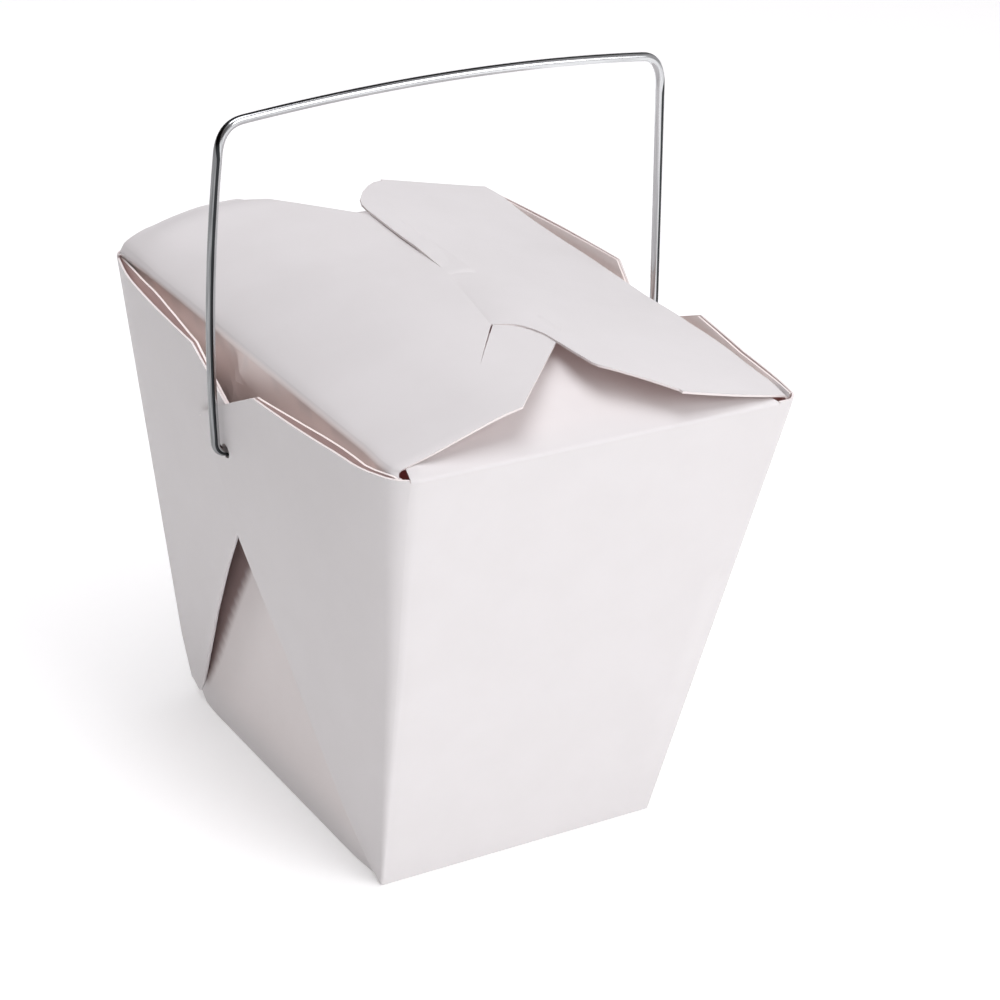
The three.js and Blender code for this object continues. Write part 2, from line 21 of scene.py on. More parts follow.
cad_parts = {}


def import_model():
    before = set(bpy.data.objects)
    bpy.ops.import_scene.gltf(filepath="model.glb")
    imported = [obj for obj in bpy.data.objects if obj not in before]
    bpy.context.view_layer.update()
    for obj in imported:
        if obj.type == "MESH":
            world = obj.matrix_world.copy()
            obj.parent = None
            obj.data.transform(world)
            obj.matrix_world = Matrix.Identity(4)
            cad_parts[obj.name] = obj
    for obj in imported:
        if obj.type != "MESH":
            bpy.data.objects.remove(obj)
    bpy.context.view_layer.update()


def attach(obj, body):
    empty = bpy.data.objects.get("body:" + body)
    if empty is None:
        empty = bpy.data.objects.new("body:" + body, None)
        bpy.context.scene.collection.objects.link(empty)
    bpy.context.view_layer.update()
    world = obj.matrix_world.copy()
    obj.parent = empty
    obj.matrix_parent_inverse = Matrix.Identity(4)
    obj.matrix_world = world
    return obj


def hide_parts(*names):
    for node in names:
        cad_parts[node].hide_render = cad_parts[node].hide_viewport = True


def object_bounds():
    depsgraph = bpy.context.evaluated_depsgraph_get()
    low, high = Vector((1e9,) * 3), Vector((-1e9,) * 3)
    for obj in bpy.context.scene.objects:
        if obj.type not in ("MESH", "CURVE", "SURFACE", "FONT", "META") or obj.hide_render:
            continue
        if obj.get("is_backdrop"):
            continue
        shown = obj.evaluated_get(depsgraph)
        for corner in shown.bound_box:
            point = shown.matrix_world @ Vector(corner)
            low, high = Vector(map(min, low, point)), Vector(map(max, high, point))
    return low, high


MM = 0.001
LOG = logging.getLogger("pail")

Point = tuple[float, float, float]
Colour = tuple[float, float, float]
Span = tuple[float, float]


class Side(Enum):
    """One of the two gusset sides; the value is the sign of its x."""

    LEFT = -1
    RIGHT = 1


class End(Enum):
    """One of the two plain panels; the value is the sign of its y."""

    FRONT = -1
    BACK = 1


# Numbers along lines


def mix(low: float, high: float, t: float) -> float:
    """Returns the value at share t between two others."""
    return low + (high - low) * t


def clamp(value: float, low: float = 0.0, high: float = 1.0) -> float:
    """Returns the value kept between two limits."""
    return max(low, min(high, value))


def ease(t: float) -> float:
    """Returns a share that starts and ends softly."""
    t = clamp(t)
    return t * t * (3 - 2 * t)


def fade(value: float, span: Span) -> float:
    """Returns 0 before a span and 1 past it, softly; a falling span swaps the two."""
    return ease((value - span[0]) / (span[1] - span[0]))


def steps(low: float, high: float, count: int) -> list[float]:
    """Returns count + 1 evenly spaced values."""
    return [mix(low, high, i / count) for i in range(count + 1)]


def merged(values: Sequence[float], keys: Sequence[float], reach: float) -> list[float]:
    """Returns spaced values and exact keys in order, without spaced ones that a key is near."""
    kept = [v for v in values if all(abs(v - key) > reach for key in keys)]
    return sorted({*kept, *keys})


ROWS = steps(0, 1, 30)


@dataclass(frozen=True)
class Graph:
    """A value over a distance, through given points and level past both ends."""

    points: tuple[Span, ...]
    soft: bool = False

    def at(self, x: float) -> float:
        """Gives the value at a distance, on straight or soft stretches between the points.

        Args:
            x: Distance.

        Returns:
            The value.
        """
        points = self.points
        if x <= points[0][0]:
            return points[0][1]
        for (x0, v0), (x1, v1) in zip(points, points[1:]):
            if x <= x1:
                t = (x - x0) / (x1 - x0)
                return mix(v0, v1, ease(t) if self.soft else t)
        return points[-1][1]


# Shape of the body


@dataclass(frozen=True)
class PailForm:
    """Sizes of the tapered body that all the sheets of board share."""

    base_x: float = 64.8
    base_y: float = 85.4
    rim_x: float = 87.0
    rim_y: float = 119.4
    rim_z: float = 100.3
    roll: float = 0.85
    cut_drop: float = 0.1
    foot_z: float = 0.5
    full_z: float = 99.6

    @property
    def eaves(self) -> float:
        """Height at which the folds round the rim start."""
        return self.rim_z - self.roll

    @property
    def cut_z(self) -> float:
        """Height of the cut edge at the rim's open corners."""
        return self.rim_z - self.cut_drop

    def half_depth(self, z: float) -> float:
        """Returns half the distance between the plain panels, which stop widening at the rim."""
        return mix(self.base_y, self.rim_y, min(z, self.full_z) / self.rim_z) / 2


@dataclass(frozen=True)
class Flank:
    """One gusset side: its lean, rounded corners and bulge, and the wall behind its webs.

    Distances are from the pail's middle planes. The front left corner is softer than the others.
    """

    form: PailForm
    side: Side
    bulge: float
    squareness: float
    fold_lean: Span
    fold_lean_y: Span
    splay: Span = (2.1, 4.9)
    flare: float = 1.1
    flare_y: Span = (42.0, 52.0)
    flare_z: Span = (40.0, 95.0)
    corner_base: float = 0.6
    corner_rim: float = 1.4
    corner_soft: float = 4.2
    corner_tilt: float = 22.0
    corner_least: float = 0.05
    turn_share: float = 0.3
    bulge_full_z: float = 85.0
    bulge_power: float = 1.5
    bulge_end: float = 0.8
    bulge_slope: float = 3.4
    inset_base: float = 0.3
    inset_rim: float = 1.3
    inset_corner: float = 1.05
    inset_soft: float = 2.2
    inset_from: Span = (0.7, 1.0)
    inset_soft_z: Span = (50.0, 95.0)
    push: Graph = Graph(
        ((-59.0, 0.0), (-50.0, 1.2), (-30.0, 1.9), (-18.0, 1.7), (-5.0, 1.1), (15.0, 1.15),
         (30.0, 0.8), (50.0, 0.75), (59.0, 0.0)),
        soft=True,
    )  # fmt: skip
    push_z: Span = (62.0, 98.0)
    hollow: float = 1.6
    hollow_edge: Graph = Graph(((0, 37.5), (60, 3.0), (75, 0.0)))
    hollow_y: tuple[Span, Span] = ((-15.0, 0.0), (6.0, 1.0))
    hollow_z: tuple[Span, Span] = ((0.0, 16.0), (74.0, 62.0))
    buckle: float = 1.8
    buckle_y: float = 2.4
    buckle_lean: float = 0.59
    buckle_width: float = 2.3
    buckle_z: Span = (78.0, 86.0)
    buckle_top: float = 3.0

    def is_soft(self, y: float) -> bool:
        """Returns whether the upright corner at one end is the soft one."""
        return self.side is Side.LEFT and y < 0

    def corner(self, y: float, z: float) -> float:
        """Returns the radius of an upright corner."""
        rim = self.corner_soft if self.is_soft(y) else self.corner_rim
        return mix(self.corner_base, rim, z / self.form.rim_z)

    def half_side(self, y: float, z: float) -> float:
        """Returns how far the side reaches before its rounded corner."""
        return self.form.half_depth(z) - self.corner(y, z)

    def wall_reach(self, y: float, z: float) -> float:
        """Returns how far the wall reaches before it turns back at the corner."""
        inside = max(self.corner(y, z) - self.inset_rim, 0.0)
        return self.half_side(y, z) + self.turn_share * inside

    def side_face(self, y: float, z: float) -> float:
        """Gives the outer face without its bulge.

        Args:
            y: Place along the side.
            z: Height.

        Returns:
            Its distance.
        """
        form = self.form
        if self.side is Side.RIGHT:
            lean = mix(*self.splay, (y / form.half_depth(z) + 1) / 2)
        else:
            lean = self.flare * fade(-y, self.flare_y) * fade(z, self.flare_z)
        return mix(form.base_x / 2, form.rim_x / 2 + lean, z / form.rim_z)

    def arc(self, y: float, z: float) -> tuple[float, float, float, float]:
        """Gives the curve round an upright corner.

        Args:
            y: Place on the same side of the middle as the corner.
            z: Height.

        Returns:
            The two distances of its middle, its radius and the angle it starts at.
        """
        corner, straight = self.corner(y, z), self.half_side(y, z)
        share = clamp(z / self.form.rim_z) if self.is_soft(y) else 0.0
        tilt = math.radians(self.corner_tilt * share)
        radius = corner / (1 - math.sin(tilt))
        across = self.side_face(math.copysign(straight, y), z) - radius * math.cos(tilt)
        return across, straight + corner - radius, radius, tilt

    def layer(self, y: float, z: float, depth: float) -> float:
        """Gives a layer behind the outer face that follows the rounded corner.

        Args:
            y: Place along the side.
            z: Height.
            depth: Depth behind the outer face.

        Returns:
            Its distance.
        """
        if abs(y) <= self.half_side(y, z):
            return self.side_face(y, z) - depth
        across, along, radius, _ = self.arc(y, z)
        past = abs(y) - along
        inner = max(radius - depth, past + self.corner_least)
        return across + math.sqrt(inner * inner - past * past)

    def bulge_shape(self, y: float, z: float) -> float:
        """Gives the shape of the bulge, which runs out into the corners on a curve of its own.

        Args:
            y: Place along the side.
            z: Height.

        Returns:
            1 half way along the side and 0 at its corners.
        """
        s, power, end = clamp(abs(y) / self.half_side(y, z)), self.squareness, self.bulge_end
        if s < end:
            return (1 - s * s) ** power
        run = 1 - end
        t = (s - end) / run
        rest = 1 - end**2
        leave = -2 * power * end * rest ** (power - 1) * run
        arrive = -self.bulge_slope * run
        start = (2 * t**3 - 3 * t * t + 1) * rest**power
        return start + (t**3 - 2 * t * t + t) * leave + (t**3 - t * t) * arrive

    def web_face(self, y: float, z: float) -> float:
        """Returns the distance of the outer face of the web folded over the side."""
        rise = 1 - (1 - clamp(z / self.bulge_full_z)) ** self.bulge_power
        return self.side_face(y, z) + self.bulge * rise * self.bulge_shape(y, z)

    def wall_offset(self, y: float, z: float) -> float:
        """Gives the depth of the wall behind the outer face.

        Args:
            y: Place along the side.
            z: Height.

        Returns:
            The depth, with the wall's dents.
        """
        middle = mix(self.inset_base, self.inset_rim, z / self.form.rim_z)
        near = fade(abs(y) / self.wall_reach(y, z), self.inset_from)
        corner = self.inset_corner
        if self.is_soft(y):
            corner = mix(corner, self.inset_soft, fade(z, self.inset_soft_z))
        offset = mix(middle, corner, near) + self.hollow * self.hollow_share(y, z)
        if self.side is Side.LEFT:
            return offset + self.buckle_share(y, z) * self.buckle
        return offset - self.push.at(y) * fade(z, self.push_z)

    def hollow_share(self, y: float, z: float) -> float:
        """Gives the hollow in the wall beside the folded edge of the back web.

        Args:
            y: Place along the side.
            z: Height.

        Returns:
            1 in the hollow and 0 away from it.
        """
        past = y - self.hollow_edge.at(z)
        return math.prod(fade(past, s) for s in self.hollow_y) * math.prod(
            fade(z, s) for s in self.hollow_z
        )

    def buckle_share(self, y: float, z: float) -> float:
        """Gives the soft upright dent in the left wall under its fold.

        Args:
            y: Place along the side.
            z: Height.

        Returns:
            Share of its depth, below 0 on its front side.
        """
        form = self.form
        across = (y - self.buckle_y - self.buckle_lean * (form.rim_z - z)) / self.buckle_width
        wave = across * math.exp(0.5 - across * across)
        return wave * ease((form.eaves - z) / self.buckle_top) * fade(z, self.buckle_z)

    def wall_face(self, y: float, z: float) -> float:
        """Returns the distance of the side wall."""
        return self.layer(y, z, self.wall_offset(y, z))

    def wall_point(self, s: float, z: float) -> Point:
        """Returns a point of the side wall, s being -1 at the front and 1 at the back."""
        y = s * self.wall_reach(s, z)
        return (self.side.value * self.wall_face(y, z), y, z)

    def fold_x(self, y: float) -> float:
        """Returns the distance of the fold between the wall and its lid flap."""
        return self.wall_face(y, self.form.eaves)

    def lean(self, y: float) -> float:
        """Returns the angle by which that fold bulges out over the webs."""
        return math.radians(mix(*self.fold_lean, fade(y, self.fold_lean_y)))

    def lift(self, y: float) -> float:
        """Returns how much higher the fold lies where it bulges out."""
        return self.form.roll * math.sin(self.lean(y))

    def flap_begin(self, y: float) -> float:
        """Returns the distance at which the flap's face begins after the rounded fold."""
        return self.fold_x(y) - self.form.roll * math.cos(self.lean(y))


# Board as a mesh


@dataclass(frozen=True)
class Hole:
    """A round hole in a patch, as seen along X."""

    centre: Span
    radius: float
    place: Callable[[float, float], Point]
    margin: float = 1.3

    def holds(self, point: Point) -> bool:
        """Returns whether a point lies in the hole or close round it."""
        return math.dist(point[1:], self.centre) < self.margin * self.radius

    def rim(self, point: Point) -> Point:
        """Gives the point of the hole's edge in the direction of another.

        Args:
            point: Point near the hole.

        Returns:
            Point of the edge.
        """
        y, z = self.centre
        angle = math.atan2(point[2] - z, point[1] - y)
        return self.place(y + self.radius * math.cos(angle), z + self.radius * math.sin(angle))


class BoardSheet:
    """Outer faces of creased board, gathered patch by patch and then given their thickness."""

    weld = 0.004 * MM
    sliver = 1e-7
    least_area = 1e-10
    least_edge = 1e-6
    sharp_from = 38.0

    def __init__(self, thickness: float) -> None:
        """Starts an empty sheet.

        Args:
            thickness: Thickness of the board.
        """
        self.thickness = thickness
        self.mesh = bmesh.new()
        # Per-vertex shares of painted warm colour and painted glow.
        for name in ("painted_warmth", "through"):
            self.mesh.verts.layers.float.new(name)

    def vertex(self, point: Point) -> bmesh.types.BMVert:
        """Adds a vertex."""
        return self.mesh.verts.new(Vector(point) * MM)

    def patch(
        self,
        grid: Sequence[Sequence[Point]],
        facing: Point,
        hole: Hole | None = None,
        marks: dict[str, Callable[[Point], float]] | None = None,
    ) -> None:
        """Adds a patch over a grid of points.

        Args:
            grid: Rows of points.
            facing: Rough direction of the outer face at the first quad.
            hole: Round hole in the patch.
            marks: Shares by which a point gets its painted warm colour and its painted glow.
        """
        verts = [[self.vertex(point) for point in row] for row in grid]
        for name, share in (marks or {}).items():
            layer = self.mesh.verts.layers.float[name]
            for row, points in zip(verts, grid):
                for vert, point in zip(row, points):
                    vert[layer] = share(point)
        faces = []
        rims: dict[tuple[int, int], bmesh.types.BMVert] = {}
        rows, columns = len(grid) - 1, len(grid[0]) - 1

        def ring(i: int, j: int) -> list[tuple[int, int]]:
            """Returns the four grid points round a quad."""
            return [(i, j), (i, j + 1), (i + 1, j + 1), (i + 1, j)]

        def cut(i: int, j: int) -> bool:
            """Returns whether the quad at a row and column is cut away."""
            inside = hole is not None and 0 <= i < rows and 0 <= j < columns
            return inside and any(hole.holds(grid[a][b]) for a, b in ring(i, j))

        def rim(a: int, b: int) -> bmesh.types.BMVert:
            """Gives the vertex of the hole's edge next to a grid point.

            Args:
                a: Row.
                b: Column.

            Returns:
                The vertex, which is made once.
            """
            if (a, b) not in rims:
                rims[a, b] = self.vertex(hole.rim(grid[a][b]))
            return rims[a, b]

        for i in range(rows):
            for j in range(columns):
                quad = ring(i, j)
                if not cut(i, j):
                    faces.append(self.mesh.faces.new([verts[a][b] for a, b in quad]))
                    continue
                beyond = [(i - 1, j), (i, j + 1), (i + 1, j), (i, j - 1)]
                for a, b, near in zip(quad, quad[1:] + quad[:1], beyond):
                    if not cut(*near):
                        edge = [verts[a[0]][a[1]], verts[b[0]][b[1]], rim(*b), rim(*a)]
                        faces.append(self.mesh.faces.new(edge))
        self.orient(faces, Vector(facing))

    def orient(self, faces: Sequence[bmesh.types.BMFace], facing: Vector) -> None:
        """Turns the faces of a patch so that its first real face looks the right way.

        Args:
            faces: Faces of the patch.
            facing: Rough direction of the outer face.
        """
        for face in faces:
            face.normal_update()
        first = next(face for face in faces if face.calc_area() > self.least_area)
        if first.normal.dot(facing) < 0:
            for face in faces:
                face.normal_flip()

    def fan(self, ring: Sequence[Point], centre: Point, facing: Point) -> None:
        """Closes a ring of points with triangles round its centre.

        Args:
            ring: Points of the ring.
            centre: Its middle.
            facing: Direction of the outer face.
        """
        middle = self.vertex(centre)
        verts = [self.vertex(point) for point in ring]
        pairs = [
            (a, b) for a, b in zip(verts, verts[1:] + verts[:1])
            if (a.co - b.co).length > self.least_edge
        ]  # fmt: skip
        self.orient([self.mesh.faces.new([a, b, middle]) for a, b in pairs], Vector(facing))

    def build(self, name: str, materials: Sequence[bpy.types.Material]) -> bpy.types.Object:
        """Joins the patches and gives them the thickness of the board.

        Args:
            name: Name of the piece.
            materials: Finishes of the outer face, the cut edges and the inner face.

        Returns:
            The piece.
        """
        bmesh.ops.remove_doubles(self.mesh, verts=self.mesh.verts[:], dist=self.weld)
        bmesh.ops.dissolve_degenerate(self.mesh, edges=self.mesh.edges[:], dist=self.sliver)
        piece = add_mesh(name, self.mesh, materials)
        solid = piece.modifiers.new("thickness", "SOLIDIFY")
        solid.thickness = self.thickness * MM
        solid.offset = -1
        solid.use_even_offset = False
        solid.use_quality_normals = True
        solid.use_rim = True
        solid.material_offset_rim = 1
        solid.material_offset = 2
        apply_modifiers(piece)
        for vert in piece.data.vertices:
            vert.co.z = max(vert.co.z, 0.0)
        shade(piece, self.sharp_from)
        return piece


def add_object(name: str, data: bpy.types.ID) -> bpy.types.Object:
    """Adds an object to the scene.

    Args:
        name: Name of the object.
        data: Mesh, lamp or camera that it shows.

    Returns:
        The object.
    """
    thing = bpy.data.objects.new(name, data)
    bpy.context.scene.collection.objects.link(thing)
    return thing


def add_mesh(
    name: str, mesh: bmesh.types.BMesh, materials: Sequence[bpy.types.Material]
) -> bpy.types.Object:
    """Adds a finished mesh to the scene as an object.

    Args:
        name: Name of the object.
        mesh: Mesh, which is used up.
        materials: Finishes of its slots.

    Returns:
        The object.
    """
    data = bpy.data.meshes.new(name)
    mesh.to_mesh(data)
    mesh.free()
    for material in materials:
        data.materials.append(material)
    return add_object(name, data)


def apply_modifiers(piece: bpy.types.Object) -> None:
    """Replaces the mesh of a piece by the one that its modifiers make.

    Args:
        piece: Piece with its modifiers.
    """
    graph = bpy.context.evaluated_depsgraph_get()
    made = bpy.data.meshes.new_from_object(piece.evaluated_get(graph))
    old = piece.data
    piece.modifiers.clear()
    piece.data = made
    made.name = piece.name
    bpy.data.meshes.remove(old)


def shade(piece: bpy.types.Object, degrees: float) -> None:
    """Shades a piece smooth, with hard edges where it turns by more than an angle."""
    piece.data.shade_smooth()
    piece.data.set_sharp_from_angle(angle=math.radians(degrees))


# Shader graphs


class Signal:
    """A socket of a shader graph that can be used in ordinary sums."""

    def __init__(self, graph: ShaderGraph, socket: bpy.types.NodeSocket) -> None:
        """Wraps an output socket of a graph."""
        self.graph = graph
        self.socket = socket

    def maths(self, operation: str, *values: Signal | float) -> Signal:
        """Adds a Math node and returns its result."""
        inputs = dict(enumerate(values))
        return self.graph.signal("ShaderNodeMath", {"operation": operation}, inputs)

    def __add__(self, other: Signal | float) -> Signal:
        """Returns the sum."""
        return self.maths("ADD", self, other)

    def __radd__(self, other: float) -> Signal:
        """Returns the sum with a number."""
        return self.maths("ADD", other, self)

    def __sub__(self, other: Signal | float) -> Signal:
        """Returns the difference."""
        return self.maths("SUBTRACT", self, other)

    def __rsub__(self, other: float) -> Signal:
        """Returns the difference from a number."""
        return self.maths("SUBTRACT", other, self)

    def __mul__(self, other: Signal | float) -> Signal:
        """Returns the product."""
        return self.maths("MULTIPLY", self, other)

    def __rmul__(self, other: float) -> Signal:
        """Returns the product with a number."""
        return self.maths("MULTIPLY", other, self)

    def over(self, low: float, high: float) -> Signal:
        """Makes a soft step.

        Args:
            low: Value up to which the step is 0.
            high: Value from which it is 1.

        Returns:
            The step.
        """
        settings = {"interpolation_type": "SMOOTHSTEP", "clamp": True}
        inputs = {"Value": self, "From Min": low, "From Max": high}
        return self.graph.signal("ShaderNodeMapRange", settings, inputs)

    def under(self, low: float, high: float) -> Signal:
        """Returns 1 below low, 0 above high and a soft step between them."""
        return 1.0 - self.over(low, high)


class ShaderGraph:
    """Builds the nodes of one material or world."""

    noise_roughness = 0.55

    def __init__(self, tree: bpy.types.NodeTree) -> None:
        """Takes over a node tree and empties it."""
        self.tree = tree
        tree.nodes.clear()

    def node(
        self,
        kind: str,
        settings: dict[str, object] | None = None,
        inputs: dict[str | int, object] | None = None,
    ) -> bpy.types.Node:
        """Adds a node.

        Args:
            kind: Type of the node.
            settings: Properties or the stops of a ramp, set before the inputs.
            inputs: Values, colours, sockets or signals of its input sockets.

        Returns:
            The node.
        """
        node = self.tree.nodes.new(kind)
        for name, value in (settings or {}).items():
            if name == "stops":
                self.set_stops(node.color_ramp, value)
            else:
                setattr(node, name, value)
        for name, value in (inputs or {}).items():
            value = value.socket if isinstance(value, Signal) else value
            socket = node.inputs[name]
            if isinstance(value, bpy.types.NodeSocket):
                self.tree.links.new(value, socket)
            elif socket.type == "RGBA":
                socket.default_value = (*value, 1.0)
            else:
                socket.default_value = value
        return node

    @staticmethod
    def set_stops(ramp: bpy.types.ColorRamp, stops: Sequence[tuple[float, Colour]]) -> None:
        """Sets the stops of a colour ramp.

        Args:
            ramp: Ramp of a node.
            stops: Places along it and their colours.
        """
        while len(ramp.elements) < len(stops):
            ramp.elements.new(1.0)
        for element, (place, colour) in zip(ramp.elements, stops):
            element.position = place
            element.color = (*colour, 1.0)

    def signal(
        self,
        kind: str,
        settings: dict[str, object],
        inputs: dict[str | int, object],
        output: str | int = 0,
    ) -> Signal:
        """Adds a node and returns one of its outputs as a signal."""
        return Signal(self, self.node(kind, settings, inputs).outputs[output])

    def noise(self, where: bpy.types.NodeSocket, scale: float, detail: float) -> Signal:
        """Gives soft random values over a place.

        Args:
            where: Place.
            scale: How fine they are.
            detail: How many finer layers they have.

        Returns:
            Values from 0 to 1 with 0.5 in the middle.
        """
        inputs = {"Vector": where, "Scale": scale, "Detail": detail}
        inputs["Roughness"] = self.noise_roughness
        return self.signal("ShaderNodeTexNoise", {}, inputs)

    def along(self, where: bpy.types.NodeSocket, axis: str) -> Signal:
        """Returns one of the coordinates of a place."""
        return self.signal("ShaderNodeSeparateXYZ", {}, {0: where}, axis)

    def scaled(self, where: bpy.types.NodeSocket, scale: Point) -> bpy.types.NodeSocket:
        """Returns places whose coordinates are multiplied."""
        return self.node("ShaderNodeMapping", {}, {"Vector": where, "Scale": scale}).outputs[0]

    def share(self, name: str) -> Signal:
        """Returns a share that is kept in the mesh."""
        return self.signal("ShaderNodeAttribute", {"attribute_name": name}, {}, "Fac")

    def blend(self, share: object, first: object, second: object) -> bpy.types.NodeSocket:
        """Returns a colour mixed from two others."""
        inputs = {0: share, 6: first, 7: second}
        return self.node("ShaderNodeMix", {"data_type": "RGBA"}, inputs).outputs[2]

    def relief(self, strength: float, depth: float, height: Signal) -> bpy.types.NodeSocket:
        """Returns the direction of a surface with a fine relief."""
        inputs = {"Strength": strength, "Distance": depth * MM, "Height": height}
        return self.node("ShaderNodeBump", {}, inputs).outputs[0]

    def finish(self, output: str, shader: str, inputs: dict[str, object]) -> None:
        """Ends the graph with a shader and its output node."""
        made = self.node(shader, {}, inputs)
        self.node(output, {}, {"Surface": made.outputs[0]})


def new_material(name: str) -> tuple[bpy.types.Material, ShaderGraph]:
    """Makes a material with an empty node tree.

    Args:
        name: Name of the material.

    Returns:
        The material and its graph.
    """
    material = bpy.data.materials.new(name)
    material.use_nodes = True
    return material, ShaderGraph(material.node_tree)


@dataclass(frozen=True)
class BoardFinish:
    """Smooth white paperboard with a faint cloudy formation and fine fibres.

    Light and shade are painted into its colour. Where other board lies close over it, a warmer,
    lighter colour and a faint glow are painted in for light that comes through the board, and
    painted shade darkens the deep places: beside the folded edge of a back web, low down between a
    web and the wall, and behind the holes for the wire. These places are in metres.
    """

    name: str = "white_board"
    colour: Colour = (0.712, 0.690, 0.692)
    cloud: Colour = (0.728, 0.706, 0.710)
    roughness: float = 0.52
    roughness_range: float = 0.16
    specular: float = 0.35
    fibre_depth: float = 0.006
    cloud_scale: float = 90.0
    cloud_from: Span = (0.3, 0.7)
    cloud_weight: float = 0.75
    fibre_scale: float = 1400.0
    tooth_scale: float = 4200.0
    fibre_weight: float = 0.7
    # Painted light: a warmer, lighter colour where other board lies over this one.
    painted_warm_light: Colour = (0.93, 0.845, 0.82)
    # Painted glow: emission over the whole finish, and more where light comes through the board
    # over it.
    glow: Colour = (0.0, 0.0, 0.0)
    through: Colour = (0.10, 0.066, 0.060)
    # Painted shade: a dark colour in the deep places, with dark discs behind the wire holes, a dark
    # strip along the back web's folded edge and a dark band on the wall behind the webs.
    deep: Colour = (0.15, 0.075, 0.07)
    painted_shade_from: Span = (0.1, 0.3)
    painted_hole_shade_z: float = 0.081
    painted_hole_shade_radius: float = 0.004
    painted_hole_shade_soft: float = 0.5
    fold_foot: float = 0.0396
    fold_slope: float = 0.613
    fold_top: float = 0.0646
    fold_bow: float = 1.44
    strip: float = 0.85
    painted_strip_shade_width: Span = (-0.0004, 0.0032)
    painted_strip_shade_top: Span = (0.060, 0.068)
    low: float = 0.5
    painted_low_shade_foot: Span = (0.064, 0.070)
    painted_low_shade_top: Span = (0.080, 0.097)

    def build(self) -> bpy.types.Material:
        """Makes the material.

        Returns:
            The material.
        """
        material, graph = new_material(self.name)
        where = graph.node("ShaderNodeTexCoord").outputs["Object"]
        cloudy = graph.noise(where, self.cloud_scale, 3.0)
        fibres = graph.noise(where, self.fibre_scale, 3.0)
        tooth = graph.noise(where, self.tooth_scale, 1.0)
        mottled = cloudy.over(*self.cloud_from) * self.cloud_weight
        tone = mottled + fibres * (1 - self.cloud_weight)
        height = fibres * self.fibre_weight + tooth * (1 - self.fibre_weight)
        # Painted light: board that other board lies over gets a warmer, lighter colour.
        painted_warmth = graph.share("painted_warmth")
        plain = graph.blend(tone, self.colour, self.cloud)
        with_painted_warmth = graph.blend(painted_warmth, plain, self.painted_warm_light)
        # Painted shade: a dark colour in the deep places of the side walls, only where webs lie
        # over them.
        depth = self.depth(graph, where) * painted_warmth.over(*self.painted_shade_from)
        inputs = {
            "Base Color": graph.blend(depth, with_painted_warmth, self.deep),
            "Roughness": (fibres - 0.5) * self.roughness_range + self.roughness,
            "Specular IOR Level": self.specular,
            # Painted glow: emission that stands for light coming through the board over this one.
            "Emission Color": graph.blend(graph.share("through"), self.glow, self.through),
            "Emission Strength": 1.0,
            "Normal": graph.relief(1.0, self.fibre_depth, height),
        }
        graph.finish("ShaderNodeOutputMaterial", "ShaderNodeBsdfPrincipled", inputs)
        return material

    def depth(self, graph: ShaderGraph, where: bpy.types.NodeSocket) -> Signal:
        """Gives the painted shade where a side wall lies deep behind its webs.

        Args:
            graph: Graph of the material.
            where: Places on the piece.

        Returns:
            1 where the painted shade is darkest and 0 in open places.
        """
        y, z = graph.along(where, "Y"), graph.along(where, "Z")
        bow = z * (self.fold_top - z) * self.fold_bow
        away = self.fold_foot - z * self.fold_slope + bow - y
        # Painted shade: a dark strip beside the back web's folded edge, a dark band on the wall
        # behind the webs and a dark disc behind each hole for the wire.
        strip = away.under(*self.painted_strip_shade_width) * z.under(*self.painted_strip_shade_top)
        low = z.under(*self.painted_low_shade_top) * z.over(*self.painted_low_shade_foot)
        rise, edge = z - self.painted_hole_shade_z, self.painted_hole_shade_radius**2
        painted_hole_shade = (y * y + rise * rise).under(self.painted_hole_shade_soft * edge, edge)
        return strip * self.strip + low * self.low + painted_hole_shade


